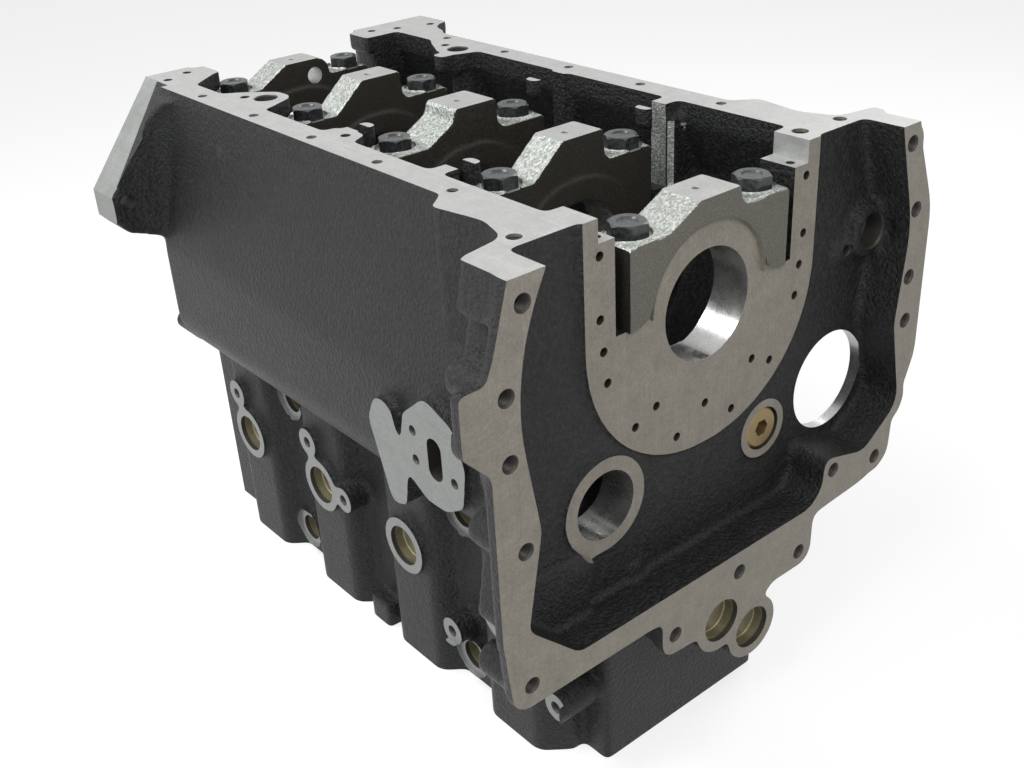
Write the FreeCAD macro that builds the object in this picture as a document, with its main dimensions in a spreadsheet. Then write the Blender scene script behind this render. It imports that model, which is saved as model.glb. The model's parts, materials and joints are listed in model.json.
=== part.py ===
"""Bare four-cylinder diesel engine block with its main bearing caps, in millimetres.

The block stands on its deck face, with the sump rail up. Z is up, Y runs along the crankshaft from
the flywheel flange (low Y) to the timing case (high Y), and X is to the right seen from the flange.
The origin lies on the deck face, below the crank axis, in the plane of main bearing 3.
"""
import FreeCAD, Part
import math
import os
import re
import Sketcher

Vector = FreeCAD.Vector
MAINS = range(1, 6)
CYLINDERS = range(1, 5)

# Driving dimensions: name, value and what it measures
SIZES = (
    ("crank_height", 353, "deck face to crank axis"),
    ("skirt_depth", 88.4, "crank axis to sump rail"),
    ("bearing_pitch", 125, "main bearing to main bearing, and bore to bore"),
    ("cylinder_radius", 52.5, "cylinder bore"),
    ("main_radius", 40.2, "parent bore of the main bearings"),
    ("cam_across", 95.5, "crank axis to camshaft, across"),
    ("cam_drop", 115.5, "crank axis to camshaft, towards the deck"),
    ("cam_radius", 25.8, "camshaft bearing bore"),
    ("cam_land_radius", 35, "machined ring round the rear camshaft bore"),
    ("cam_chamber_radius", 37, "clearance round the camshaft between its bearings"),
    ("flange_overhang", 46, "bearing 1 to the flywheel flange face"),
    ("land_overhang", 15.5, "bearing 1 to the rear seal land"),
    ("wall_overhang", 13, "bearing 1 to the rear wall inside the flange"),
    ("block_overhang", 9, "bearing 1 to the rear end of the cylinder part"),
    ("rim_overhang", 4, "bearing 1 to the back of the flange rim"),
    ("front_overhang", 24, "bearing 5 to the timing case face"),
    ("front_flange_depth", 40, "thickness of the front flange along the crankshaft"),
    ("timing_recess_depth", 7, "cast recess inside the timing case face"),
    ("idler_across", 78, "crank axis to the idler gear's boss, across"),
    ("idler_drop", 62, "crank axis to the idler gear's boss, towards the deck"),
    ("flange_plate", 10, "thickness of the flywheel flange plate"),
    ("rim_wall", 9.5, "wall of the flange rim"),
    ("flange_left", 212, "crank axis to the left edge of the flange"),
    ("flange_right", 206, "crank axis to the right edge of the flange"),
    ("flange_foot", 210, "crank axis to the lower edge of the flange"),
    ("ear_reach", 231, "crank axis to the tip of the left flange ear"),
    ("recess_half", 188, "half width of the recess inside the flange"),
    ("recess_foot", 190, "crank axis to the floor of the recess"),
    ("recess_mouth", 163, "half width of the recess at the sump rail"),
    ("land_half", 109, "half width of the rear seal land"),
    ("rail_half", 136, "half width of the sump rail outside"),
    ("rail_inside", 112, "half width of the crankcase at the sump rail"),
    ("skirt_wall", 10, "wall of the crankcase skirt"),
    ("rail_thickness", 16, "depth of the sump rail's inward flange"),
    ("bulge_reach", 158, "crank axis to the outside of the camshaft bulge"),
    ("bulge_foot", 144, "crank axis to the underside of the camshaft bulge"),
    ("jacket_left", 125, "cylinder jackets on the camshaft side"),
    ("jacket_right", 90, "cylinder jackets on the far side"),
    ("jacket_half", 46, "half width of one cylinder's jacket along the block"),
    ("groove_depth", 17, "depth of the groove between two jackets"),
    ("barrel_top", 110, "crank axis to the floor of the crankcase"),
    ("web_half", 7, "half thickness of a bearing bulkhead away from the saddle"),
    ("post_inside", 84.5, "half width of the room round a cap's ends"),
    ("post_half", 12, "half thickness of a post between a bulkhead and the rail"),
    ("lug_inside", 77, "half width between the rail lugs above a cap's ends"),
    ("rear_ledge", 16, "sump rail to the ledge beside the rear cap"),
    ("rear_ledge_half", 98, "half width of the mouth above that ledge"),
    ("saddle_drop", 82, "depth of a bearing saddle below the crank axis"),
    ("register_half", 75.2, "half width of the register that locates a cap"),
    ("register_depth", 6, "depth of that register above the crank axis"),
    ("liner_wall", 7, "cylinder wall inside the water jacket"),
    ("water_gap", 6, "width of the water jacket round a cylinder"),
    ("deck_thickness", 12, "deck plate over the water jacket"),
    ("water_height", 200, "water jacket from the deck plate towards the crank"),
    ("cap_clearance", 0.2, "gap between a cap's end and its register"),
    ("cap_width", 30, "thickness of a main bearing cap"),
    ("thrust_cap_width", 38, "thickness of the thrust bearing cap"),
    ("cap_height", 88, "crank axis to the top pad of a cap"),
    ("rear_cap_height", 76.5, "crank axis to the top pad of the rear cap"),
    ("seat_height", 65, "crank axis to the bolt seats of a cap"),
    ("rear_seat_height", 63, "crank axis to the bolt seats of the rear cap"),
    ("pad_left", 13, "top pad of a cap to the left of the crank axis"),
    ("pad_right", 27, "top pad of a cap to the right of the crank axis"),
    ("pad_hole_radius", 2.6, "small hole in a cap's top pad"),
    ("oil_hole_radius", 3.5, "oil hole in a main bore"),
    ("rear_cap_proud", 3.5, "cast front of the rear cap above its seal land"),
    ("ring_land_radius", 59, "machined ring round the main bore of the rear cap"),
    ("ring_relief", 1.5, "cast step round the main bore on a cap's face"),
    ("front_cap_height", 81, "crank axis to the top of the front cap"),
    ("lug_hole_radius", 7.5, "hole through the front cap"),
    ("bolt_spacing", 58.4, "crank axis to a cap bolt"),
    ("bolt_radius", 8, "shank of a cap bolt"),
    ("bolt_clearance", 0.5, "gap round a bolt in its cap"),
    ("bolt_flats", 24, "hexagon of a cap bolt across flats"),
    ("bolt_head", 10, "height of a cap bolt's head"),
    ("bolt_depth", 50, "bolt below the joint face"),
    ("seat_radius", 16, "spot face under a cap bolt"),
    ("seat_cut", 1, "depth of that spot face"),
    ("starter_across", 142.5, "crank axis to the starter opening, across"),
    ("starter_drop", 112.5, "crank axis to the starter opening, towards the deck"),
    ("starter_radius", 40, "starter opening"),
    ("gallery_across", 64, "crank axis to the oil gallery plug, across"),
    ("gallery_drop", 122.5, "crank axis to the oil gallery plug, towards the deck"),
    ("gallery_boss_radius", 22.5, "machined ring round the oil gallery plug"),
    ("gallery_plug_radius", 16, "head of the oil gallery plug"),
    ("gallery_plug_length", 14, "length of the oil gallery plug"),
    ("gallery_plug_gap", 1.2, "gap round the plug's head in its counterbore"),
    ("gallery_radius", 8, "oil gallery drilling"),
    ("socket_flats", 12, "hexagon socket of the oil gallery plug"),
    ("plug_radius", 17.5, "large core plug"),
    ("small_plug_radius", 12.5, "small core plug"),
    ("rear_plug_radius", 17.5, "plug in a lower lobe of the flange"),
    ("plug_wall", 1.6, "sheet of a core plug"),
    ("plug_depth", 9, "depth of a core plug's cup"),
    ("plug_fit", 0.1, "gap round a core plug in its hole"),
    ("plug_recess", 4, "core plug below the face of its boss"),
    ("plug_boss_wall", 7.5, "boss wall round a core plug"),
    ("plug_drop", 237, "crank axis to the large core plugs"),
    ("upper_plug_drop", 182, "crank axis to the upper small core plugs"),
    ("lower_plug_drop", 322, "crank axis to the lower small core plugs"),
    ("plug_face", 130, "face of the large core plugs' bosses"),
    ("small_plug_face", 113, "face of the small core plugs' bosses"),
    ("lobe_radius", 26, "round lobe of the flange about a rear plug"),
    ("pad_face", 165, "crank axis to the side pad"),
    ("pump_boss_radius", 13, "threaded side boss above a core plug"),
    ("side_boss_radius", 12, "threaded side boss beside a core plug"),
    ("flange_boss_radius", 13, "boss behind a flange bolt hole"),
    ("flange_hole_radius", 5.6, "flange bolt hole"),
    ("rail_hole_radius", 3.6, "sump bolt hole"),
    ("rail_hole_across", 126, "crank axis to the sump bolt holes"),
    ("rail_hole_pitch", 84, "sump bolt hole to sump bolt hole"),
    ("rail_hole_depth", 16, "depth of a sump bolt hole"),
    ("rail_drain_radius", 9, "plain hole through a rail lug"),
    ("land_hole_radius", 3, "seal housing bolt hole"),
    ("land_hole_depth", 12, "depth of a seal housing bolt hole"),
    ("head_bolt_across", 64, "crank axis to the cylinder head bolts"),
    ("head_bolt_radius", 6.5, "cylinder head bolt hole"),
    ("head_bolt_depth", 60, "depth of a cylinder head bolt hole"),
    ("tappet_radius", 11, "tappet bore"),
    ("tappet_offset", 31, "tappet bore from its cylinder's plane"),
    ("boring_relief", 1.5, "cylinder bore to its relief in the bulkheads"),
    ("water_hole_radius", 5, "water passage through the deck"),
)

doc = FreeCAD.newDocument("EngineBlock")
sheet = doc.addObject("Spreadsheet::Sheet", "Sizes")
for row, (size, value, meaning) in enumerate(SIZES, start=1):
    sheet.set(f"A{row}", meaning)
    sheet.set(f"B{row}", str(value))
    sheet.setAlias(f"B{row}", size)
doc.recompute()
SIZE_NAMES = {size for size, value, meaning in SIZES}

# Places along the crankshaft that several forms share
FLANGE_FACE = "-2 * bearing_pitch - flange_overhang"
LAND_FACE = "-2 * bearing_pitch - land_overhang"
REAR_WALL = "-2 * bearing_pitch - wall_overhang"
BLOCK_REAR = "-2 * bearing_pitch - block_overhang"
RIM_BACK = "-2 * bearing_pitch - rim_overhang"
FRONT_FACE = "2 * bearing_pitch + front_overhang"
RAIL = "crank_height + skirt_depth"


def bearing_y(number):
    """Middle plane of a main bearing, counted from the flywheel end."""
    return f"{number - 3} * bearing_pitch"


def cylinder_y(number):
    """Middle plane of a cylinder, counted from the flywheel end."""
    return f"{number - 2.5} * bearing_pitch"


def link(formula):
    """Turn the size names in a formula into references to the sheet."""
    def refer(word):
        return "Sizes." + word.group() if word.group() in SIZE_NAMES else word.group()
    return re.sub(r"[a-z]\w*", refer, str(formula))


def worth(formula):
    """Present value of a formula."""
    return float(sheet.evalExpression(link(formula)))


def bind(item, setting, formula):
    item.setExpression(setting, link(formula))


# Primitives and sketched outlines
TURNS = {
    "x": FreeCAD.Rotation(Vector(0, 1, 0), 90),
    "y": FreeCAD.Rotation(Vector(1, 0, 0), -90),
    "z": FreeCAD.Rotation(),
}
SKETCH_TURNS = {
    "xy": FreeCAD.Rotation(),
    "xz": FreeCAD.Rotation(Vector(1, 0, 0), 90),
    "yz": FreeCAD.Rotation(Vector(1, 1, 1), 120),
}
NORMALS = {"xy": ("z", Vector(0, 0, 1)), "xz": ("y", Vector(0, 1, 0)), "yz": ("x", Vector(1, 0, 0))}


def box(name, across, along, up):
    """Block between two places on each axis."""
    solid = doc.addObject("Part::Box", name)
    for side, axis, (start, end) in zip(("Length", "Width", "Height"), "xyz", (across, along, up)):
        bind(solid, side, f"({end}) - ({start})")
        bind(solid, "Placement.Base." + axis, start)
    return solid


def rod(name, radius, axis, start, end, *centre):
    """Cylinder along an axis from start to end; centre is its place on the other two axes."""
    solid = doc.addObject("Part::Cylinder", name)
    solid.Placement = FreeCAD.Placement(Vector(), TURNS[axis])
    bind(solid, "Radius", radius)
    bind(solid, "Height", f"({end}) - ({start})")
    bind(solid, "Placement.Base." + axis, start)
    for other, place in zip([letter for letter in "xyz" if letter != axis], centre):
        bind(solid, "Placement.Base." + other, place)
    return solid


def rounding(before, corner, after, radius):
    """Ends and middle of the arc that rounds a corner."""
    to_before = (before - corner).normalize()
    to_after = (after - corner).normalize()
    half = to_before.getAngle(to_after) / 2
    inward = (to_before + to_after).normalize()
    start = corner + to_before * (radius / math.tan(half))
    end = corner + to_after * (radius / math.tan(half))
    middle = corner + inward * (radius / math.sin(half) - radius)
    return start, middle, end


def outline(sketch, corners):
    """Draw a closed outline through (x, y) or (x, y, rounding radius) corners and bind it."""
    places = [Vector(worth(corner[0]), worth(corner[1]), 0) for corner in corners]
    count = len(corners)
    arcs = {}
    for index, corner in enumerate(corners):
        if len(corner) == 3:
            arcs[index] = rounding(places[index - 1], places[index], places[(index + 1) % count],
                                   worth(corner[2]))
    lines = []
    for index in range(count):
        after = (index + 1) % count
        start = arcs[index][2] if index in arcs else places[index]
        end = arcs[after][0] if after in arcs else places[after]
        lines.append(sketch.addGeometry(Part.LineSegment(start, end), False))
    bound = []
    for index, corner in enumerate(corners):
        before, after = lines[index - 1], lines[index]
        if index in arcs:
            arc = sketch.addGeometry(Part.Arc(*arcs[index]), False)
            turn = (places[index] - places[index - 1]).cross(places[(index + 1) % count] - places[index])
            first, last = (1, 2) if turn.z > 0 else (2, 1)
            knot = sketch.addGeometry(Part.Point(places[index]), True)
            sketch.addConstraint(Sketcher.Constraint("Tangent", before, 2, arc, first))
            sketch.addConstraint(Sketcher.Constraint("Tangent", arc, last, after, 1))
            sketch.addConstraint(Sketcher.Constraint("PointOnObject", knot, 1, before))
            sketch.addConstraint(Sketcher.Constraint("PointOnObject", knot, 1, after))
            bound.append((sketch.addConstraint(Sketcher.Constraint("Radius", arc, worth(corner[2]))),
                          corner[2]))
        else:
            knot = after
            sketch.addConstraint(Sketcher.Constraint("Coincident", before, 2, after, 1))
        for kind, place, formula in zip(("DistanceX", "DistanceY"), places[index], corner[:2]):
            bound.append((sketch.addConstraint(Sketcher.Constraint(kind, -1, 1, knot, 1, place)),
                          formula))
    for constraint, formula in bound:
        if re.search("[a-z]", str(formula)):
            bind(sketch, f"Constraints[{constraint}]", formula)


def prism(name, plane, corners, start, end):
    """Outline in a plane, extruded along the plane's normal from start to end."""
    axis, normal = NORMALS[plane]
    sketch = doc.addObject("Sketcher::SketchObject", name + "_outline")
    sketch.Placement = FreeCAD.Placement(Vector(), SKETCH_TURNS[plane])
    bind(sketch, "Placement.Base." + axis, start)
    outline(sketch, corners)
    solid = doc.addObject("Part::Extrusion", name)
    solid.Base = sketch
    solid.DirMode = "Custom"
    solid.Dir = normal
    solid.Solid = True
    bind(solid, "LengthFwd", f"({end}) - ({start})")
    return solid


def about_crank(corners):
    """Outline corners whose second place is measured from the crank axis."""
    return [(corner[0], f"crank_height + ({corner[1]})") + tuple(corner[2:]) for corner in corners]


def joined(name, solids):
    fuse = doc.addObject("Part::MultiFuse", name)
    fuse.Shapes = solids
    return fuse


def shared(name, solids):
    common = doc.addObject("Part::MultiCommon", name)
    common.Shapes = solids
    return common


def less(name, base, tool):
    cut = doc.addObject("Part::Cut", name)
    cut.Base = base
    cut.Tool = tool
    return cut


# Casting: outer forms
def skirt():
    """Crankcase walls, with the camshaft bulge on the left."""
    corners = about_crank([
        ("rail_half", "skirt_depth"),
        ("-rail_half", "skirt_depth"),
        ("-rail_half - 6", "30", 60),
        ("-bulge_reach", "-50", 70),
        ("-bulge_reach", "-bulge_foot", 38),
        ("groove_depth - jacket_left", "-bulge_foot - 14", 18),
        ("groove_depth - jacket_left", "-bulge_foot - 40"),
        ("jacket_right - groove_depth", "-bulge_foot - 40"),
        ("jacket_right - groove_depth", "-barrel_top - skirt_wall", 30),
        ("rail_half", "-50", 70),
    ])
    return prism("skirt", "xz", corners, REAR_WALL, f"{FRONT_FACE} - front_flange_depth + 2")


def cylinder_part():
    """Cylinder part of the block, with one bulging jacket for each cylinder."""
    top = "crank_height - barrel_top"
    core = prism("cylinder_core", "xy", [
        ("-93", BLOCK_REAR),
        ("jacket_right - groove_depth", BLOCK_REAR),
        ("jacket_right - groove_depth", FRONT_FACE),
        ("groove_depth - jacket_left", FRONT_FACE),
        ("groove_depth - jacket_left", f"({BLOCK_REAR}) + 42"),
        ("-93", f"({BLOCK_REAR}) + 36"),
    ], "0", top)
    jackets = []
    for number in CYLINDERS:
        middle = cylinder_y(number)
        jackets.append(prism(f"jacket_{number}", "xy", [
            ("jacket_right - groove_depth - 4", f"{middle} - jacket_half"),
            ("jacket_right", f"{middle} - jacket_half + groove_depth", 14),
            ("jacket_right", f"{middle} + jacket_half - groove_depth", 14),
            ("jacket_right - groove_depth - 4", f"{middle} + jacket_half"),
            ("groove_depth - jacket_left + 4", f"{middle} + jacket_half"),
            ("-jacket_left", f"{middle} + jacket_half - groove_depth", 14),
            ("-jacket_left", f"{middle} - jacket_half + groove_depth", 14),
            ("groove_depth - jacket_left + 4", f"{middle} - jacket_half"),
        ], "0", top))
    return [core] + jackets


FLANGE_OUTLINE = about_crank([
    ("16 - flange_right - 3", "skirt_depth"),
    ("-flange_left + 6", "45", 60),
    ("-flange_left", "32"),
    ("-ear_reach", "32", 3),
    ("-ear_reach", "-7", 3),
    ("-flange_left", "-27", 8),
    ("-flange_left", "-150", 60),
    ("6 - flange_left", "-flange_foot", 15),
    ("-84", "-flange_foot", 6),
    ("-72", "-flange_foot - 2", 3),
    ("-72", "-flange_foot - 34", 13),
    ("-30", "-flange_foot - 36"),
    ("36", "-flange_foot - 36"),
    ("48", "-flange_foot - 28", 3),
    ("91", "-flange_foot - 28", 13),
    ("92", "12 - flange_foot", 8),
    ("150", "16 - flange_foot", 30),
    ("183", "24 - flange_foot", 16),
    ("185", "-150", 20),
    ("flange_right", "-100", 40),
    ("flange_right", "20", 80),
    ("flange_right - 27", "skirt_depth"),
])


def recess_outline(grow):
    """Inside of the flange, grown outwards by a wall; open at the sump rail."""
    mouth = f"recess_mouth + {grow}"
    half = f"recess_half + {grow}"
    foot = f"-recess_foot - {grow}"
    return about_crank([
        (f"{mouth} - 2", "skirt_depth + 20"),
        (f"-({mouth}) - 2", "skirt_depth + 20"),
        (f"-({mouth}) - 2", "skirt_depth"),
        (f"-({half}) - 7", "29", 165),
        (f"11 - ({half})", "-80", 30),
        (f"-({half}) - 3", f"-150 - {grow} / 2", 10),
        (f"38 - ({half})", foot, 14),
        (f"100 + {grow}", foot, 22),
        (f"102 + {grow}", f"-153 - {grow}", 7),
        ("150", f"-166 - {grow}", 18),
        (f"{half} + 2", f"-138 - {grow} / 2", 20),
        (f"{half} - 14", "-66", 40),
        (f"{half} - 5", "10", 100),
        (f"{mouth} - 2", "skirt_depth"),
    ])


def clipped_at_rail(name, solid):
    """The part of a form that lies below the sump rail."""
    keep = box(name + "_limit", ("-300", "300"), ("-400", "400"), ("0", RAIL))
    return shared(name, [solid, keep])


FLANGE_HOLES = (
    ("-183", "72"), ("-198", "19"), ("-198", "-24"), ("-190", "-89"), ("-191", "-193"),
    ("-59", "-228"), ("8", "-208"), ("77", "-225"), ("166", "-178"), ("113", "-167"),
    ("188", "-67"), ("187", "-31"), ("187", "22"), ("174", "74"),
)
REAR_LOBES = (("-10", "-243"), ("25", "-269"))


def flywheel_flange():
    """Bolting plate, deep rim behind it and the bosses behind its bolt holes."""
    plate = prism("flange_plate", "xz", FLANGE_OUTLINE, FLANGE_FACE,
                  f"{FLANGE_FACE} + flange_plate")
    rim = clipped_at_rail("flange_rim", prism("rim", "xz", recess_outline("rim_wall"),
                                              FLANGE_FACE, RIM_BACK))
    forms = [plate, rim]
    for side, inner, outer, flank in (("left", "-152", "-192", "-199"), ("right", "150", "181", "188")):
        forms.append(prism(f"rail_corner_{side}", "xz", about_crank([
            (inner, "skirt_depth"),
            (outer, "skirt_depth"),
            (flank, "skirt_depth - 33", 7),
            (inner, "skirt_depth - 40", 12),
        ]), FLANGE_FACE, RIM_BACK))
    for index, (across, up) in enumerate(FLANGE_HOLES[1:], start=2):
        forms.append(rod(f"flange_boss_{index}", "flange_boss_radius", "y", FLANGE_FACE, RIM_BACK,
                         across, f"crank_height + ({up})"))
    for index, (across, up) in enumerate(REAR_LOBES, start=1):
        forms.append(rod(f"rear_lobe_{index}", "lobe_radius", "y", FLANGE_FACE, RIM_BACK,
                         across, f"crank_height + ({up})"))
    return forms


FRONT_OUTLINE = about_crank([
    ("171", "skirt_depth", 3),
    ("-129", "skirt_depth", 3),
    ("-190", "12", 5),
    ("-196", "4", 3),
    ("-196", "-20", 6),
    ("-186", "-31", 6),
    ("-142", "-46", 12),
    ("-135", "-62", 12),
    ("-135", "-150", 10),
    ("-118", "-168", 12),
    ("-96", "-204", 15),
    ("-94", "-240", 30),
    ("-102", "-290", 30),
    ("-103", "12 - crank_height", 4),
    ("-96", "-crank_height"),
    ("jacket_right", "-crank_height"),
    ("jacket_right + 4", "-150", 30),
    ("136", "-60", 60),
    ("160", "30", 40),
])


def front_flange():
    """Timing case flange with its left ear, and the flares that lead the walls into it."""
    rear = f"{FRONT_FACE} - front_flange_depth"
    forms = [prism("front_plate", "xz", FRONT_OUTLINE, rear, FRONT_FACE)]
    for side, sign, edge in (("left", "-", "134"), ("right", "", "140")):
        wing = prism(f"front_wing_{side}", "xy", [
            (f"{sign}60", f"{rear} - 56"),
            (f"{sign}110", f"{rear} - 56"),
            (f"{sign}{edge}", f"{rear} - 40", 30),
            (f"{sign}{edge} {sign or '+'} 10", f"{rear} - 8", 24),
            (f"{sign}215", f"{rear} + 10", 14),
            (f"{sign}215", f"{rear} + 20"),
            (f"{sign}60", f"{rear} + 20"),
        ], "crank_height - 190", RAIL)
        limit = prism(f"front_wing_edge_{side}", "xz", FRONT_OUTLINE, f"{rear} - 80", f"{rear} + 22")
        forms.append(shared(f"front_flare_{side}", [wing, limit]))
    for index, (across, up) in enumerate((("-132", "-86"), ("-135", "-143")), start=1):
        forms.append(rod(f"front_boss_{index}", "9.5", "y", f"{rear} - 1", FRONT_FACE, across,
                         f"crank_height + ({up})"))
    return forms


def rail_flares():
    """Sump rail widening at the rear, tapering down into the skirt, and columns behind the flange."""
    forms = []
    for side, sign, foot in (("left", "-", "100"), ("right", "", "60")):
        plan = prism(f"rail_flare_plan_{side}", "xy", [
            (f"{sign}100", REAR_WALL),
            (f"{sign}188", REAR_WALL),
            (f"{sign}188", f"{RIM_BACK} + 2"),
            (f"{sign}155", f"{RIM_BACK} + 8", 14),
            (f"{sign}146", f"{RIM_BACK} + 36", 20),
            (f"{sign}153", f"{RIM_BACK} + 78", 2),
            (f"{sign}136", f"{RIM_BACK} + 92", 2),
            (f"{sign}130", f"{RIM_BACK} + 110"),
            (f"{sign}100", f"{RIM_BACK} + 110"),
        ], "crank_height - 60", RAIL)
        taper = prism(f"rail_flare_taper_{side}", "xz", about_crank([
            (f"{sign}80", "skirt_depth"),
            (f"{sign}195", "skirt_depth"),
            (f"{sign}162", "50", 50),
            (f"{sign}138", "-45"),
            (f"{sign}80", "-45"),
        ]), f"{REAR_WALL} - 2", f"{RIM_BACK} + 112")
        forms.append(shared(f"rail_flare_{side}", [plan, taper]))
        forms.append(prism(f"flange_column_{side}", "xy", [
            (f"{sign}120", REAR_WALL),
            (f"{sign}184", REAR_WALL),
            (f"{sign}184", f"{RIM_BACK} + 1"),
            (f"{sign}155", f"{RIM_BACK} + 5", 16),
            (f"{sign}146", f"{RIM_BACK} + 40", 20),
            (f"{sign}120", f"{RIM_BACK} + 44"),
        ], f"crank_height - {foot}", f"{RAIL} - 12"))
    return forms


def rail_lugs():
    """Lugs that reach inwards from the sump rail over the bulkheads."""
    outlines = (
        ("left_4", ("-132", "343"), ("-106", "349", 12), ("-80", "362", 8), ("-77", "385", 8),
         ("-96", "406", 14), ("-112", "418", 8), ("-132", "424")),
        ("right_4", ("132", "352"), ("114", "359", 8), ("91", "367", 8), ("88", "388", 12),
         ("103", "417", 14), ("116", "437", 8), ("132", "442")),
        ("left_3", ("-132", "220"), ("-112", "222", 4), ("-97", "230", 6), ("-95", "256", 4),
         ("-112", "258", 3), ("-132", "262")),
        ("left_5", ("-132", "455"), ("-113", "461", 6), ("-84", "484", 4), ("-84", "512"),
         ("-132", "512")),
        ("right_5", ("132", "480"), ("113", "486", 6), ("86", "512", 4), ("86", "516"),
         ("132", "516")),
    )
    return [prism("rail_lug_" + name, "xy", [
        (corner[0], f"-2 * bearing_pitch + {corner[1]}") + tuple(corner[2:]) for corner in corners
    ], f"{RAIL} - rail_thickness", RAIL) for name, *corners in outlines]


SIDE_PAD = about_crank([
    ("159", "-90", 12),
    ("146", "-64", 13),
    ("128", "-72", 10),
    ("121", "-99", 3),
    ("113", "-68", 8),
    ("86", "-46", 12),
    ("55", "-58", 14),
    ("45", "-86", 14),
    ("50", "-118", 10),
    ("70", "-130", 12),
    ("92", "-130", 14),
    ("114", "-117", 4),
    ("120", "-148", 6),
    ("138", "-154", 8),
])


SIDE_BOSSES = (
    (f"{cylinder_y(3)} + 14", "199", "pump_boss_radius"),
    (f"{cylinder_y(4)} + 14", "199", "pump_boss_radius"),
    (f"{cylinder_y(3)} - 36", "236", "side_boss_radius"),
    (f"{bearing_y(2)} + 4", "290", "side_boss_radius"),
    (f"{bearing_y(1)} + 5", "286", "side_boss_radius"),
)


def side_bosses():
    """Pads, plug bosses and threaded bosses on the camshaft side, plug bosses on the other."""
    inside = "groove_depth - jacket_left + 10"
    pad_corners = [(f"-2 * bearing_pitch + {along}", up, radius) for along, up, radius in SIDE_PAD]
    forms = [prism("side_pad", "yz", pad_corners, "-pad_face", "-pad_face + 22")]

    def boss(name, radius, face, along, drop):
        forms.append(rod(name, radius, "x", f"-{face}", inside, along, f"crank_height - {drop}"))

    for number in CYLINDERS:
        boss(f"plug_boss_{number}", "plug_radius + plug_boss_wall", "plug_face",
             cylinder_y(number), "plug_drop")
        forms.append(rod(f"far_plug_boss_{number}", "plug_radius + plug_boss_wall", "x", "50",
                         "jacket_right + 5", cylinder_y(number), "crank_height - plug_drop"))
    for number in (2, 4):
        for level in ("upper", "lower"):
            boss(f"{level}_plug_boss_{number}", "small_plug_radius + plug_boss_wall",
                 "small_plug_face", bearing_y(number), f"{level}_plug_drop")
    for index, (along, drop, radius) in enumerate(SIDE_BOSSES, start=1):
        boss(f"side_boss_{index}", radius, "jacket_left - 5", along, drop)
    forms.append(box("deck_foot", ("-124", "-90"), (f"{bearing_y(3)} - 16", f"{bearing_y(3)} + 12"),
                     ("0", "22")))
    bump = doc.addObject("Part::Ellipsoid", "skirt_bump")
    for setting, formula in (("Radius1", "20"), ("Radius2", "7"), ("Radius3", "9"),
                             ("Placement.Base.x", "-rail_half - 1"),
                             ("Placement.Base.y", f"{bearing_y(4)} + 4"),
                             ("Placement.Base.z", "crank_height + 41")):
        bind(bump, setting, formula)
    forms.append(bump)
    return forms


# Casting: cores
def crankcase_bays():
    """Open bays between the bulkheads and the camshaft chamber beside each."""
    cores = []
    for number in CYLINDERS:
        start = f"{bearing_y(number)} + web_half"
        end = f"{bearing_y(number + 1)} - web_half"
        if number == 1:
            start = f"{bearing_y(1)} + cap_width / 2"
        if number == 4:
            end = f"{bearing_y(5)} - cap_width / 2"
        cores.append(prism(f"bay_{number}", "xz", about_crank([
            ("rail_inside", "skirt_depth + 10"),
            ("-rail_inside", "skirt_depth + 10"),
            ("-rail_inside", "skirt_depth - rail_thickness"),
            ("-rail_half + skirt_wall", "skirt_depth - rail_thickness - 40", 20),
            ("-bulge_reach + 2 * skirt_wall", "-40", 60),
            ("-bulge_reach + 2 * skirt_wall", "-barrel_top", 30),
            ("rail_half - skirt_wall", "-barrel_top", "rail_half - skirt_wall - 15"),
            ("rail_half - skirt_wall", "skirt_depth - rail_thickness - 40", 20),
            ("rail_inside", "skirt_depth - rail_thickness"),
        ]), start, end))
        cores.append(rod(f"cam_chamber_{number}", "cam_chamber_radius", "y", start, end,
                         "-cam_across", "crank_height - cam_drop"))
    return cores


def water_jacket():
    """Water space round the four cylinders, inside the cylinder part."""
    outer = []
    walls = []
    bottom = "deck_thickness"
    top = "deck_thickness + water_height"
    wall = "cylinder_radius + liner_wall"
    for number in CYLINDERS:
        outer.append(rod(f"water_{number}", f"{wall} + water_gap", "z", bottom, top,
                         "0", cylinder_y(number)))
        walls.append(rod(f"liner_wall_{number}", wall, "z", f"{bottom} - 1", f"{top} + 1",
                         "0", cylinder_y(number)))
    return less("water_jacket", joined("water_outside", outer), joined("liner_walls", walls))


def flange_recess():
    return prism("recess", "xz", recess_outline("0"), f"{FLANGE_FACE} - 5", REAR_WALL)


def timing_recess():
    """Shallow recess behind the timing case, inside the rim that its gasket sits on."""
    return prism("timing_recess", "xz", about_crank([
        ("148", "70", 8),
        ("100", "70", 6),
        ("100", "100"),
        ("-100", "100"),
        ("-100", "70", 6),
        ("-120", "70", 8),
        ("-162", "12", 10),
        ("-150", "-22", 12),
        ("-120", "-40", 14),
        ("-120", "-140", 14),
        ("-90", "-172", 16),
        ("-74", "-225", 30),
        ("-82", "26 - crank_height", 12),
        ("jacket_right - 16", "26 - crank_height", 12),
        ("jacket_right - 14", "-150", 30),
        ("118", "-58", 50),
        ("140", "25", 30),
    ]), f"{FRONT_FACE} - timing_recess_depth", f"{FRONT_FACE} + 5")


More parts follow.
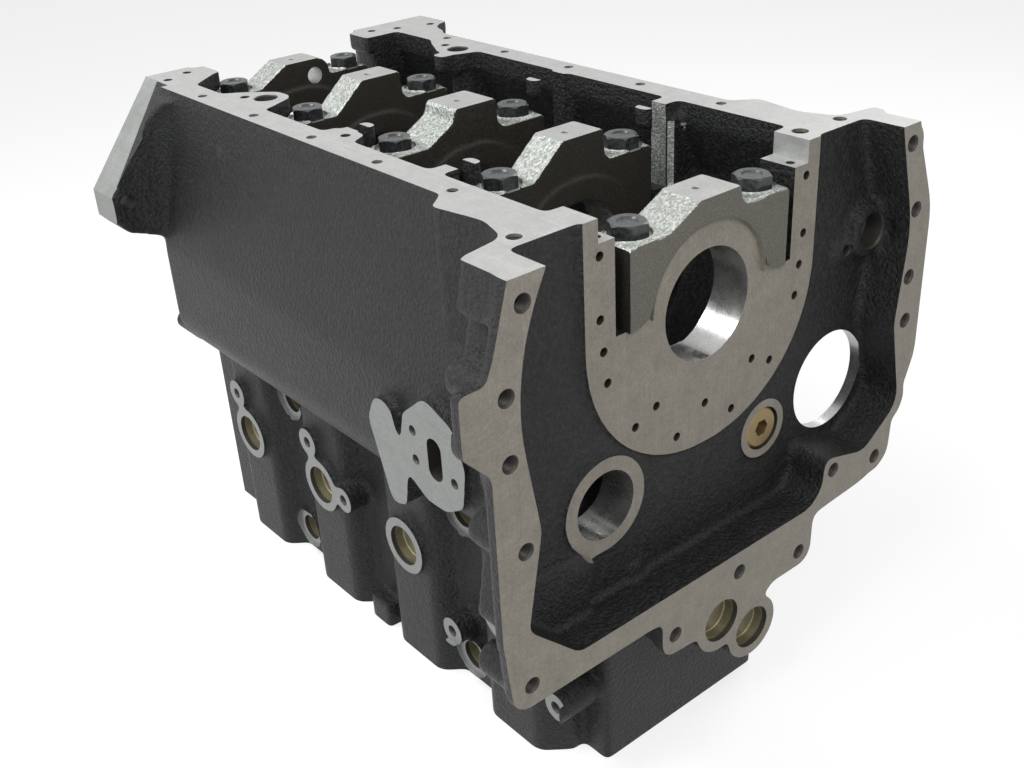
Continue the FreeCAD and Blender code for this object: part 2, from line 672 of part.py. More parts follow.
# Casting: forms inside the cores
def saddles():
    """Bearing saddles, posts beside the caps and camshaft bearings."""
    forms = []
    for number in MAINS:
        half = "thrust_cap_width / 2" if number == 3 else "cap_width / 2"
        middle = bearing_y(number)
        along = (f"{middle} - {half}", f"{middle} + {half}")
        if number == 1:
            along = (REAR_WALL, f"{middle} + {half}")
        if number == 5:
            along = (f"{middle} - {half}", FRONT_FACE)
        forms.append(prism(f"saddle_{number}", "xz", about_crank([
            ("register_half + 14", "register_depth"),
            ("-register_half - 14", "register_depth"),
            ("-register_half - 14", "-20", 30),
            ("-45", "-saddle_drop - 30", 30),
            ("45", "-saddle_drop - 30", 30),
            ("register_half + 14", "-20", 30),
        ]), *along))
        forms.append(rod(f"cam_bearing_{number}", "cam_radius + 9", "y", *along,
                         "-cam_across", "crank_height - cam_drop"))
        for side, sign in (("left", "-"), ("right", "")):
            forms.append(prism(f"bulkhead_{number}_{side}", "xz", about_crank([
                (f"{sign}(rail_inside + 16)", "-saddle_drop"),
                (f"{sign}(rail_inside + 16)", "28"),
                (f"{sign}(post_inside + 14)", "22", 10),
                (f"{sign}(post_inside - 6)", "register_depth", 3),
                (f"{sign}(post_inside - 20)", "-saddle_drop"),
            ]), *along))
            forms.append(post(number, side, sign, along))
    return forms


def post(number, side, sign, along):
    """Upright post between a bulkhead and the sump rail, with a ridge where its core halves meet."""
    middle = bearing_y(number)
    if number in (1, 5):
        inside = "post_inside"
        start, end = along
    else:
        inside = "rail_inside - 3" if (number, side) == (3, "right") else "rear_ledge_half"
        start, end = f"{middle} - post_half", f"{middle} + post_half"
    top = "skirt_depth - 10" if number == 2 else "skirt_depth"
    return prism(f"post_{number}_{side}", "xy", [
        (f"{sign}(rail_inside + 16)", start),
        (f"{sign}({inside} + 4)", start),
        (f"{sign}({inside})", f"(({start}) + ({end})) / 2", 1.5),
        (f"{sign}({inside} + 4)", end),
        (f"{sign}(rail_inside + 16)", end),
    ], "crank_height - 20", f"crank_height + {top}")


def rear_lands():
    """Seal land, camshaft ring and oil plug ring that stand out from the rear wall."""
    inner = f"{REAR_WALL} + 2"
    land = prism("seal_land", "xz", about_crank([
        ("land_half", "skirt_depth"),
        ("-land_half", "skirt_depth"),
        ("-land_half", "-land_half + 4", "land_half - 4"),
        ("land_half", "-land_half + 4", "land_half - 4"),
    ]), LAND_FACE, inner)
    cam_ring = rod("cam_ring", "cam_land_radius", "y", LAND_FACE, inner,
                   "-cam_across", "crank_height - cam_drop")
    cam_tail = rod("cam_ring_tail", "cam_land_radius - 20", "y", LAND_FACE, inner,
                   "-cam_across - 11", "crank_height - cam_drop - 20")
    plug_ring = rod("gallery_ring", "gallery_boss_radius", "y", LAND_FACE, inner,
                    "gallery_across", "crank_height - gallery_drop")
    ledge = prism("recess_ledge", "xz", about_crank([
        ("-190", "-136"),
        ("-120", "-138", 8),
        ("-112", "-160", 10),
        ("-116", "-196"),
        ("-150", "-196"),
        ("-192", "-154"),
    ]), f"{REAR_WALL} - 7", inner)
    tabs = [box(f"locating_tab_{index}", (f"{across} - {half}", f"{across} + {half}"),
                (f"{REAR_WALL} - {proud}", inner),
                (f"crank_height - {drop} - {half} * 0.7", f"crank_height - {drop} + {half} * 0.7"))
            for index, (across, drop, half, proud) in enumerate(
                (("-122", "152", "9", "9"), ("-68", "184", "7", "3")), start=1)]
    wall_bosses = [
        rod("wall_boss_small", "9", "y", f"{REAR_WALL} - 4", inner, "148", "crank_height - 6"),
        rod("wall_boss_large", "21", "y", f"{REAR_WALL} - 9", inner, "171", "crank_height + 4"),
    ]
    return [land, cam_ring, cam_tail, plug_ring, ledge] + tabs + wall_bosses


TIMING_HOLES = (
    ("-114", "79"), ("120", "79"), ("-154", "40"), ("-132", "-86"), ("-135", "-143"),
    ("-104", "-172"), ("-85", "-228"), ("-92", "-285"), ("-92", "-339"), ("-30", "-340"),
    ("30", "-340"), ("82", "-335"), ("82", "-265"), ("84", "-195"), ("97", "-130"), ("126", "-50"),
    ("150", "20"), ("160", "70"),
)


def timing_lands():
    """Faces round the bores and round the idler gear's pin that stand up inside the timing recess."""
    inner = f"{FRONT_FACE} - timing_recess_depth - 2"
    return [
        rod("front_main_ring", "ring_land_radius + 6", "y", inner, FRONT_FACE, "0", "crank_height"),
        rod("front_cam_ring", "cam_land_radius", "y", inner, FRONT_FACE, "-cam_across",
            "crank_height - cam_drop"),
        rod("idler_boss", "26", "y", inner, FRONT_FACE, "idler_across", "crank_height - idler_drop"),
        rod("front_gallery_boss", "gallery_radius + 9", "y", inner, FRONT_FACE, "gallery_across",
            "crank_height - gallery_drop"),
    ]


def far_side_pads():
    """Engine mount pads on the skirt and the oil filter's seat, on the side away from the camshaft."""
    forms = [box(f"mount_pad_{number}", ("120", "rail_half + 9"),
                 (f"{cylinder_y(number)} - 34", f"{cylinder_y(number)} + 34"),
                 ("crank_height - 22", "crank_height + 44")) for number in (2, 3)]
    forms.append(rod("filter_seat", "37", "x", "60", "jacket_right + 24", bearing_y(3),
                     "crank_height - 176"))
    return forms


# Casting: machining
def bearing_cuts():
    """Main and camshaft bores, registers for the caps and room beside the rear cap."""
    along = (f"{FLANGE_FACE} - 10", f"{FRONT_FACE} + 10")
    cuts = [
        rod("main_bore", "main_radius", "y", *along, "0", "crank_height"),
        rod("cam_bore", "cam_radius", "y", *along, "-cam_across", "crank_height - cam_drop"),
        box("register", ("-register_half", "register_half"), along,
            ("crank_height", f"{RAIL} + 10")),
        box("cap_room", ("-post_inside", "post_inside"), along,
            ("crank_height + register_depth", f"{RAIL} - rail_thickness")),
        box("cap_mouth", ("-lug_inside", "lug_inside"), along,
            (f"{RAIL} - rail_thickness - 1", f"{RAIL} + 10")),
        box("rear_step", ("-rear_ledge_half", "rear_ledge_half"),
            (f"{LAND_FACE} - 10", f"{bearing_y(1)} + cap_width / 2 + 1"),
            (f"{RAIL} - rear_ledge", f"{RAIL} + 10")),
    ]
    for side, sign in (("left", "-"), ("right", "")):
        cuts.append(rod(f"ledge_hole_{side}", "land_hole_radius", "z", f"{RAIL} - rear_ledge - 10",
                        RAIL, f"{sign}91", f"{bearing_y(1)} - 6"))
    for number in MAINS:
        for side, sign in (("left", "-"), ("right", "")):
            cuts.append(rod(f"cap_thread_{number}_{side}", "bolt_radius + bolt_clearance / 2", "z",
                            "crank_height - bolt_depth - 6", "crank_height + 1",
                            f"{sign}bolt_spacing", bearing_y(number)))
        cuts.append(rod(f"oil_hole_{number}", "oil_hole_radius", "z", "crank_height - saddle_drop",
                        "crank_height", "0", bearing_y(number)))
    return cuts


def cylinder_cuts():
    """Cylinder bores, tappet bores, head bolt holes and water passages through the deck."""
    cuts = []
    for number in CYLINDERS:
        middle = cylinder_y(number)
        cuts.append(rod(f"cylinder_bore_{number}", "cylinder_radius", "z", "-1",
                        "crank_height - barrel_top + 0.5", "0", middle))
        cuts.append(rod(f"boring_relief_{number}", "cylinder_radius + boring_relief", "z",
                        "crank_height - barrel_top", "crank_height", "0", middle))
        for side, sign in (("rear", "-"), ("front", "+")):
            cuts.append(rod(f"tappet_{number}_{side}", "tappet_radius", "z", "-1",
                            "crank_height - cam_drop", "-cam_across",
                            f"{middle} {sign} tappet_offset"))
            cuts.append(rod(f"water_hole_{number}_{side}", "water_hole_radius", "z", "-1",
                            "deck_thickness + 1",
                            "(cylinder_radius + liner_wall + water_gap / 2) * 0.64",
                            f"{middle} {sign} (cylinder_radius + liner_wall + water_gap / 2) * 0.77"))
    for number in MAINS:
        inset = {1: "+ 8", 5: "- 8"}.get(number, "+ 0")
        for side, sign in (("left", "-"), ("right", "")):
            cuts.append(rod(f"head_bolt_{number}_{side}", "head_bolt_radius", "z", "-1",
                            "head_bolt_depth", f"{sign}head_bolt_across",
                            f"{bearing_y(number)} {inset}"))
    return cuts


def plug_cuts():
    """Holes for the core plugs, the gallery plug and the two plugs of the rear lobes."""
    cuts = []
    reach = "cylinder_radius + liner_wall - 2"
    for number in CYLINDERS:
        cuts.append(rod(f"plug_hole_{number}", "plug_radius", "x", "-plug_face - 1",
                        f"-({reach})", cylinder_y(number), "crank_height - plug_drop"))
        cuts.append(rod(f"far_plug_hole_{number}", "plug_radius", "x", reach,
                        "jacket_right + 6", cylinder_y(number), "crank_height - plug_drop"))
    for number in (2, 4):
        for level in ("upper", "lower"):
            cuts.append(rod(f"{level}_plug_hole_{number}", "small_plug_radius", "x",
                            "-small_plug_face - 1", "-40", bearing_y(number),
                            f"crank_height - {level}_plug_drop"))
    for index, (across, up) in enumerate(REAR_LOBES, start=1):
        cuts.append(rod(f"rear_plug_hole_{index}", "rear_plug_radius", "y", f"{FLANGE_FACE} - 1",
                        f"{FLANGE_FACE} + plug_recess + plug_depth + 12", across,
                        f"crank_height + ({up})"))
    place = ("gallery_across", "crank_height - gallery_drop")
    cuts.append(rod("gallery", "gallery_radius", "y", f"{LAND_FACE} - 1", f"{FRONT_FACE} - 20",
                    *place))
    cuts.append(rod("gallery_counterbore", "gallery_plug_radius + gallery_plug_gap", "y",
                    f"{LAND_FACE} - 1", f"{LAND_FACE} + 4", *place))
    cuts.append(rod("gallery_thread", "gallery_plug_radius - 1.5 + plug_fit", "y", f"{LAND_FACE} - 1",
                    f"{LAND_FACE} + gallery_plug_length + 1", *place))
    return cuts


RAIL_EXTRA_HOLES = (("-104", "393"), ("108", "403"), ("-107", "240"), ("121", "497"), ("98", "507"),
                    ("152", "485"), ("-121", "497"), ("-98", "507"))
RAIL_DRAINS = (("-94", "377"), ("106", "382"))
LAND_HOLES = (("97", "64"), ("97.5", "22"), ("95", "-1"), ("92", "-24"), ("67.6", "-66.7"),
              ("27.8", "-90.8"), ("48", "-58.5"))
PAD_HOLES = (("103", "-78"), ("102", "-101"), ("58", "-101"))


def face_holes():
    """Bolt holes of the flange, the seal land, the sump rail and the side pad."""
    cuts = [rod("starter_opening", "starter_radius", "y", f"{REAR_WALL} - 1", f"{RIM_BACK} + 1",
                "starter_across", "crank_height - starter_drop"),
            rod("land_hole_foot", "land_hole_radius", "y", f"{LAND_FACE} - 1",
                f"{LAND_FACE} + land_hole_depth", "0", "crank_height - 75"),
            rod("wall_boss_hole", "4", "y", f"{REAR_WALL} - 5", f"{REAR_WALL} + 8", "148",
                "crank_height - 6"),
            rod("wall_boss_bore", "13.5", "y", f"{REAR_WALL} - 20", f"{REAR_WALL} + 5", "171",
                "crank_height + 4")]
    for index, (across, up) in enumerate(FLANGE_HOLES, start=1):
        cuts.append(rod(f"flange_hole_{index}", "flange_hole_radius", "y", f"{FLANGE_FACE} - 1",
                        f"{FLANGE_FACE} + 30", across, f"crank_height + ({up})"))
    for side, sign in (("left", "-"), ("right", "")):
        for step in range(5):
            cuts.append(rod(f"rail_hole_{side}_{step + 1}", "rail_hole_radius", "z",
                            f"{RAIL} - rail_hole_depth", f"{RAIL} + 1",
                            f"{sign}rail_hole_across",
                            f"{bearing_y(1)} + 88 + {step} * rail_hole_pitch"))
        cuts.append(rod(f"rail_corner_hole_{side}", "rail_hole_radius + 1", "z",
                        f"{RAIL} - rail_hole_depth", f"{RAIL} + 1", f"{sign}150",
                        f"{bearing_y(1)} - 1"))
        for index, (across, up) in enumerate(LAND_HOLES, start=1):
            cuts.append(rod(f"land_hole_{side}_{index}", "land_hole_radius", "y",
                            f"{LAND_FACE} - 1", f"{LAND_FACE} + land_hole_depth",
                            f"{sign}{across}", f"crank_height + ({up})"))
    for index, (across, along) in enumerate(RAIL_EXTRA_HOLES, start=1):
        cuts.append(rod(f"rail_extra_hole_{index}", "rail_hole_radius", "z",
                        f"{RAIL} - rail_thickness - 1", f"{RAIL} + 1", across,
                        f"{bearing_y(1)} + {along}"))
    for index, (across, along) in enumerate(RAIL_DRAINS, start=1):
        cuts.append(rod(f"rail_drain_{index}", "rail_drain_radius", "z",
                        f"{RAIL} - rail_thickness - 1", f"{RAIL} + 1", across,
                        f"{bearing_y(1)} + {along}"))
    for index, (along, up) in enumerate(PAD_HOLES, start=1):
        cuts.append(rod(f"pad_hole_{index}", "rail_hole_radius", "x", "-pad_face - 1",
                        "-pad_face + 18", f"{bearing_y(1)} + {along}", f"crank_height + ({up})"))
    cuts.append(prism("pad_slot", "yz", about_crank([
        (f"{bearing_y(1)} + 71", "-75", 7.5),
        (f"{bearing_y(1)} + 71", "-108", 7.5),
        (f"{bearing_y(1)} + 87", "-108", 7.5),
        (f"{bearing_y(1)} + 87", "-75", 7.5),
    ]), "-pad_face - 1", "-pad_face + 12"))
    for index, (along, drop, radius) in enumerate(SIDE_BOSSES, start=1):
        cuts.append(rod(f"side_boss_hole_{index}", "rail_hole_radius + 1", "x",
                        "-jacket_left - 10", "-jacket_left + 16", along, f"crank_height - {drop}"))
    for index, (across, up) in enumerate(TIMING_HOLES, start=1):
        cuts.append(rod(f"timing_hole_{index}", "rail_hole_radius", "y",
                        f"{FRONT_FACE} - rail_hole_depth", f"{FRONT_FACE} + 1", across,
                        f"crank_height + ({up})"))
    cuts.append(rod("idler_pin_hole", "10", "y", f"{FRONT_FACE} - 36", f"{FRONT_FACE} + 1",
                    "idler_across", "crank_height - idler_drop"))
    for number in (2, 3):
        for along in (-24, 24):
            for up in (-12, 34):
                cuts.append(rod(f"mount_hole_{number}_{along + 24}_{up + 12}", "flange_hole_radius",
                                "x", "rail_half - 10", "rail_half + 10",
                                f"{cylinder_y(number)} + {along}", f"crank_height + {up}"))
    cuts.append(rod("filter_thread", "11", "x", "jacket_right - 4", "jacket_right + 25",
                    bearing_y(3), "crank_height - 176"))
    for along, up in ((-19, 19), (19, 19), (0, -27)):
        cuts.append(rod(f"filter_port_{along + 19}", "4.5", "x", "jacket_right", "jacket_right + 25",
                        f"{bearing_y(3)} + {along}", f"crank_height - 176 + {up}"))
    cuts.append(rod("front_ear_hole", "7", "y", f"{FRONT_FACE} - front_flange_depth - 1",
                    f"{FRONT_FACE} + 1", "-183", "crank_height - 3"))
    return cuts


def cylinder_block():
    rough = joined("casting_outside", [skirt()] + cylinder_part() + flywheel_flange()
                   + front_flange() + rail_flares() + side_bosses() + far_side_pads())
    cores = joined("cores", crankcase_bays() + [water_jacket(), flange_recess(), timing_recess()])
    inner = joined("casting_inside", [less("cored_casting", rough, cores)] + saddles() + rail_lugs()
                   + rear_lands() + timing_lands())
    block = less("block_with_bearings", inner, joined("bearing_machining", bearing_cuts()))
    block = less("block_with_cylinders", block, joined("cylinder_machining", cylinder_cuts()))
    block = less("block_with_plug_holes", block, joined("plug_hole_machining", plug_cuts()))
    block = less("cylinder_block", block, joined("face_machining", face_holes()))
    block.Label = "cylinder_block"
    return block


# Loose pieces, each a body of sketched features
def new_body(label, across, along, up):
    body = doc.addObject("PartDesign::Body", label)
    body.Label = label
    for axis, place in zip("xyz", (across, along, up)):
        bind(body, "Placement.Base." + axis, place)
    return body


def body_sketch(body, name, plane):
    sketch = body.newObject("Sketcher::SketchObject", name)
    origin_plane = [item for item in body.Origin.OriginFeatures if item.Role == plane][0]
    sketch.AttachmentSupport = [(origin_plane, "")]
    sketch.MapMode = "FlatFace"
    return sketch


def ring(sketch, radius, across="0", up="0"):
    """Circle in a sketch, bound in size and place."""
    circle = sketch.addGeometry(Part.Circle(Vector(worth(across), worth(up), 0), Vector(0, 0, 1),
                                            worth(radius)), False)
    size = sketch.addConstraint(Sketcher.Constraint("Radius", circle, worth(radius)))
    bind(sketch, f"Constraints[{size}]", radius)
    for kind, place in (("DistanceX", across), ("DistanceY", up)):
        if place == "0":
            target = ("PointOnObject", circle, 3, -2 if kind == "DistanceX" else -1)
            sketch.addConstraint(Sketcher.Constraint(*target))
        else:
            spot = sketch.addConstraint(Sketcher.Constraint(kind, -1, 1, circle, 3, worth(place)))
            bind(sketch, f"Constraints[{spot}]", place)


def hexagon(sketch, flats):
    """Hexagon about the sketch's origin, with its size across the flats."""
    radius = f"({flats}) / sqrt(3)"
    corners = [(f"{radius} * {math.cos(math.radians(60 * step)):.6f}",
                f"{radius} * {math.sin(math.radians(60 * step)):.6f}") for step in range(6)]
    outline(sketch, corners)


def feature(body, kind, name, sketch, length, reverse=False):
    item = body.newObject("PartDesign::" + kind, name)
    item.Profile = sketch
    item.Reversed = reverse
    bind(item, "Length", length)
    return item


def turned(body, kind, name, sketch):
    """Revolution or groove about the upright line of its sketch."""
    item = body.newObject("PartDesign::" + kind, name)
    item.Profile = sketch
    item.ReferenceAxis = (sketch, ["V_Axis"])
    return item


def cap_levels(number):
    """Heights of a cap's top pad and of its bolt seats above the joint."""
    if number == 1:
        return "rear_cap_height", "rear_seat_height"
    if number == 5:
        return "front_cap_height", "seat_height"
    return "cap_height", "seat_height"


def cap_outline(number, foot="0"):
    """Cap seen along the crankshaft: bolt seats at its ends and the pad between them."""
    height, seat = cap_levels(number)
    end = "register_half - cap_clearance"
    corners = [
        (f"-{end.replace('-', '+')}", foot),
        (f"-{end.replace('-', '+')}", seat, 3),
        ("-40", seat, 4),
    ]
    if number == 3:
        corners.append(("-pad_left - 4", "cap_height - 10", 2))
    corners.append(("-pad_left", height, 3))
    if number == 5:
        corners += [("pad_right + 4", height, 13), ("pad_right + 7", seat, 2)]
    else:
        corners += [("pad_right", height, 3), ("pad_right + 1", seat, 8)]
    return corners + [(end, seat, 3), (end, foot)]


def main_cap(number):
    """Bearing cap with its half bore, bolt holes, spot faces and top pad."""
    width = "thrust_cap_width" if number == 3 else "cap_width"
    height, seat = cap_levels(number)
    front = f"{bearing_y(number)} - {width} / 2"
    if number == 1:
        width = "cap_width / 2 + land_overhang"
        front = LAND_FACE
    label = f"main_cap_{number}"
    body = new_body(label, "0", front, "crank_height")
    profile = body_sketch(body, label + "_profile", "XZ_Plane")
    outline(profile, cap_outline(number))
    feature(body, "Pad", label + "_casting", profile, width, True)
    face = body_sketch(body, label + "_face_profile", "XZ_Plane")
    if number == 1:
        outline(face, cap_outline(number, "register_depth"))
        feature(body, "Pad", label + "_front", face, "rear_cap_proud")
        ring_land = body_sketch(body, label + "_ring_profile", "XZ_Plane")
        outline(ring_land, [
            ("-register_half - 2", "register_depth - 1"),
            ("-54", "register_depth + 3", 14),
            ("-ring_land_radius + 4", "ring_land_radius", "ring_land_radius - 8"),
            ("ring_land_radius - 4", "ring_land_radius", "ring_land_radius - 8"),
            ("54", "register_depth + 3", 14),
            ("register_half + 2", "register_depth - 1"),
        ])
        feature(body, "Pocket", label + "_ring", ring_land, "rear_cap_proud", True)
    else:
        outline(face, [
            ("-ring_land_radius", "0"),
            ("-ring_land_radius", "ring_land_radius - 2", "ring_land_radius - 4"),
            ("ring_land_radius", "ring_land_radius - 2", "ring_land_radius - 4"),
            ("ring_land_radius", "0"),
        ])
        feature(body, "Pad", label + "_face", face, "ring_relief")
    bore = body_sketch(body, label + "_bore_profile", "XZ_Plane")
    bind(bore, "AttachmentOffset.Base.z", "2 * rear_cap_proud")
    ring(bore, "main_radius")
    feature(body, "Pocket", label + "_bore", bore, f"{width} + 2 * rear_cap_proud")
    if number == 5:
        lug_hole = body_sketch(body, label + "_lug_hole_profile", "XZ_Plane")
        bind(lug_hole, "AttachmentOffset.Base.z", "2 * ring_relief")
        ring(lug_hole, "lug_hole_radius", "17", "seat_height + 1")
        feature(body, "Pocket", label + "_lug_hole", lug_hole, "cap_width + 2 * ring_relief")
    middle = f"({bearing_y(number)}) - ({front})"
    holes = body_sketch(body, label + "_holes_profile", "XY_Plane")
    for sign in ("-", ""):
        ring(holes, "bolt_radius + bolt_clearance", f"{sign}bolt_spacing", middle)
    feature(body, "Pocket", label + "_holes", holes, "cap_height + 1", True)
    faces = body_sketch(body, label + "_seats_profile", "XY_Plane")
    bind(faces, "AttachmentOffset.Base.z", f"{seat} - seat_cut")
    for sign in ("-", ""):
        ring(faces, "seat_radius", f"{sign}bolt_spacing", middle)
    feature(body, "Pocket", label + "_seats", faces, "cap_height", True)
    pad = body_sketch(body, label + "_pad_hole_profile", "XY_Plane")
    bind(pad, "AttachmentOffset.Base.z", height)
    ring(pad, "pad_hole_radius", "3", middle)
    feature(body, "Pocket", label + "_pad_hole", pad, "12")
    return body


def cap_bolt(number, side):
    """Hexagon-head bolt of a main cap, with a dished head."""
    sign = "-" if side == "left" else ""
    seat = "rear_seat_height" if number == 1 else "seat_height"
    label = f"main_cap_bolt_{number}_{side}"
    body = new_body(label, f"{sign}bolt_spacing", bearing_y(number),
                    f"crank_height + {seat} - seat_cut")
    profile = body_sketch(body, label + "_head_profile", "XY_Plane")
    hexagon(profile, "bolt_flats")
    feature(body, "Pad", label + "_head", profile, "bolt_head")
    crown = body_sketch(body, label + "_crown_profile", "XZ_Plane")
    outline(crown, [
        ("bolt_flats / 2 - 0.4", "bolt_head"),
        ("bolt_flats / 2 + 3", "bolt_head"),
        ("bolt_flats / 2 + 3", "bolt_head - 2"),
    ])
    turned(body, "Groove", label + "_crown", crown)
    dish = body_sketch(body, label + "_dish_profile", "XZ_Plane")
    outline(dish, [
        ("0", "bolt_head"),
        ("0", "bolt_head - 1.2"),
        ("bolt_flats / 4", "bolt_head - 1.2"),
        ("bolt_flats / 4 + 1.2", "bolt_head"),
    ])
    turned(body, "Groove", label + "_dish", dish)
    shank = body_sketch(body, label + "_shank_profile", "XY_Plane")
    ring(shank, "bolt_radius")
    feature(body, "Pad", label + "_shank", shank, f"bolt_depth + {seat} - seat_cut", True)
    return body


def cup_plug(label, radius, turn, across, along, up):
    """Pressed sheet-metal cup with its open side outwards, along its own Z."""
    body = new_body(label, across, along, up)
    body.Placement = FreeCAD.Placement(body.Placement.Base, turn)
    for axis, place in zip("xyz", (across, along, up)):
        bind(body, "Placement.Base." + axis, place)
    profile = body_sketch(body, label + "_section", "XZ_Plane")
    radius = f"{radius} - plug_fit"
    outline(profile, [
        ("0", "-plug_depth"),
        (radius, "-plug_depth", 3),
        (radius, "0"),
        (f"{radius} - plug_wall", "0"),
        (f"{radius} - plug_wall", "plug_wall - plug_depth", 1.4),
        ("0", "plug_wall - plug_depth"),
    ])
    turned(body, "Revolution", label + "_cup", profile)
    return body


def core_plugs():
    """Cups in the side and rear holes of the casting, each sunk a little below its face."""
    left = FreeCAD.Rotation(Vector(0, 1, 0), -90)
    right = FreeCAD.Rotation(Vector(0, 1, 0), 90)
    rear = FreeCAD.Rotation(Vector(1, 0, 0), 90)
    plugs = []
    for number in CYLINDERS:
        plugs.append(cup_plug(f"core_plug_left_{number}", "plug_radius", left,
                              "plug_recess - plug_face", cylinder_y(number),
                              "crank_height - plug_drop"))
        plugs.append(cup_plug(f"core_plug_right_{number}", "plug_radius", right,
                              "jacket_right + 5 - plug_recess", cylinder_y(number),
                              "crank_height - plug_drop"))
    for number in (2, 4):
        for level in ("upper", "lower"):
            plugs.append(cup_plug(f"core_plug_{level}_{number}", "small_plug_radius", left,
                                  "plug_recess - small_plug_face", bearing_y(number),
                                  f"crank_height - {level}_plug_drop"))
    for index, (across, up) in enumerate(REAR_LOBES, start=1):
        plugs.append(cup_plug(f"rear_plug_{index}", "rear_plug_radius", rear, across,
                              f"{FLANGE_FACE} + plug_recess", f"crank_height + ({up})"))
    return plugs


def oil_gallery_plug():
    """Brass screw plug with a hexagon socket, along its own Z."""
    body = new_body("oil_gallery_plug", "gallery_across", LAND_FACE, "crank_height - gallery_drop")
    body.Placement = FreeCAD.Placement(body.Placement.Base, FreeCAD.Rotation(Vector(1, 0, 0), 90))
    for axis, place in zip("xyz", ("gallery_across", f"{LAND_FACE} + 1",
                                   "crank_height - gallery_drop")):
        bind(body, "Placement.Base." + axis, place)
    section = body_sketch(body, "gallery_plug_section", "XZ_Plane")
    outline(section, [
        ("0", "-gallery_plug_length"),
        ("gallery_plug_radius - 1.5", "-gallery_plug_length"),
        ("gallery_plug_radius - 1.5", "-3"),
        ("gallery_plug_radius", "-3"),
        ("gallery_plug_radius", "-1"),
        ("gallery_plug_radius - 1.5", "0"),
        ("0", "0"),
    ])
    turned(body, "Revolution", "gallery_plug_turned", section)
    socket = body_sketch(body, "gallery_plug_socket_profile", "XY_Plane")
    hexagon(socket, "socket_flats")
    feature(body, "Pocket", "gallery_plug_socket", socket, "gallery_plug_length * 0.6")
    return body


pieces = [cylinder_block()]
for main in MAINS:
    pieces.append(main_cap(main))
    for hand in ("left", "right"):
        pieces.append(cap_bolt(main, hand))
pieces += core_plugs()
pieces.append(oil_gallery_plug())
doc.recompute()

# Nothing is written until every object and every piece is sound
for item in doc.Objects:
    if "Invalid" in item.State or "Error" in item.State:
        raise RuntimeError(f"{item.Name} failed: {item.State}")
for item in doc.Objects:
    if item.TypeId in ("PartDesign::Pocket", "PartDesign::Groove"):
        if item.Shape.Volume >= item.BaseFeature.Shape.Volume:
            raise RuntimeError(f"{item.Name} removes nothing")
for piece in pieces:
    if piece.Shape.isNull() or not piece.Shape.isValid() or not piece.Shape.Solids:
        raise RuntimeError(f"{piece.Label} is not a sound solid")
os.makedirs("parts", exist_ok=True)
for piece in pieces:
    piece.Shape.exportStep(f"parts/{piece.Label}.step")
    print(piece.Label, len(piece.Shape.Solids), f"{piece.Shape.Volume / 1000:.1f} cm3")
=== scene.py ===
import json
import math

import bmesh
import bpy
from mathutils import Matrix, Vector


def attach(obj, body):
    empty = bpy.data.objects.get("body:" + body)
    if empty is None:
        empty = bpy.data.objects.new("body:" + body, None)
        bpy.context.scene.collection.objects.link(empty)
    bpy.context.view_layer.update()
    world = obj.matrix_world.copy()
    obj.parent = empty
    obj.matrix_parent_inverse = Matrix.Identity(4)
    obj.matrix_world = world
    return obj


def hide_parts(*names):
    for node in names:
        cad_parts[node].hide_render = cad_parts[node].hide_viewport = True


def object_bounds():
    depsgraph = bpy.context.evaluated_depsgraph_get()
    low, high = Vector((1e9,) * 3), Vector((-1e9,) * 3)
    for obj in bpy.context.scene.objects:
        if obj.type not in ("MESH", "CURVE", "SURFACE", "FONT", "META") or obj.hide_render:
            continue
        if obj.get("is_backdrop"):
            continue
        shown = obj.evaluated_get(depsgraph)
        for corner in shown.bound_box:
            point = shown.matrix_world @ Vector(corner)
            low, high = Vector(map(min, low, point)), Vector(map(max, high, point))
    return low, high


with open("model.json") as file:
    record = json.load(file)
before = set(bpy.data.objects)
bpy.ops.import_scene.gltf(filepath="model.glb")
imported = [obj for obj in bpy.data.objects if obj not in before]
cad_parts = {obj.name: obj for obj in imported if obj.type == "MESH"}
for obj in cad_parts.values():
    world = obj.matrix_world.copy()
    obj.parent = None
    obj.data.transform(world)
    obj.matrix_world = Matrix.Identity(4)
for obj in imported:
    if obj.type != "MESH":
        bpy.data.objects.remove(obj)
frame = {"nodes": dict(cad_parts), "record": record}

# The block stands on its deck face with the sump rail up. The casting and the bearing caps are
# drawn as sand castings: rounded all over, grown by some stock where they are machined, and then
# cut back, so that planes, bores, spot faces and threads come out sharp on a rough skin.
#
# Lengths here are millimetres: X to the right seen from the flywheel flange, Y from main bearing 1
# towards the timing case, Z up from the crank axis. Shapes turns them into the row's frame.
cad_low, cad_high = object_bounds()

MM = 0.001
ORIGIN = Vector((0, -0.25, 0.353))
HOME = Matrix.Translation(ORIGIN) @ Matrix.Scale(MM, 4)
BEARINGS = [0, 125, 250, 375, 500]
WALLS = [(-13, 15), (110, 140), (231, 269), (360, 390), (485, 524)]
CYLINDERS = [62.5, 187.5, 312.5, 437.5]
RAIL = 88.4
DECK = -353
FLANGE_FACE = -46
LAND_FACE = -15.5
TIMING_FACE = 524
PAD_FACE = -165
PLUG_FACE = -130
SMALL_PLUG_FACE = -113
FAR_PLUG_FACE = 95
MOUNT_FACE = 145
FILTER_FACE = 114
LEDGE = 72.4
CAM = (-95.5, -115.5)
GALLERY = (64, -122.5)
STARTER = (142.5, -112.5)
STARTER_RADIUS = 40
MAIN_RADIUS = 40.2
CAM_RADIUS = 25.8
CYLINDER_RADIUS = 52.5
LARGE_PLUG_RADIUS = 17.5
SMALL_PLUG_RADIUS = 12.5
TAPPET_RADIUS = 11
TAPPET_OFFSET = 31
BOLT_OFFSET = 58.4
CAP_END = 75
LARGE_PLUGS = [(y, -237) for y in CYLINDERS]
SMALL_PLUGS = [(y, z) for y in (125, 375) for z in (-182, -322)]
FAR = 400


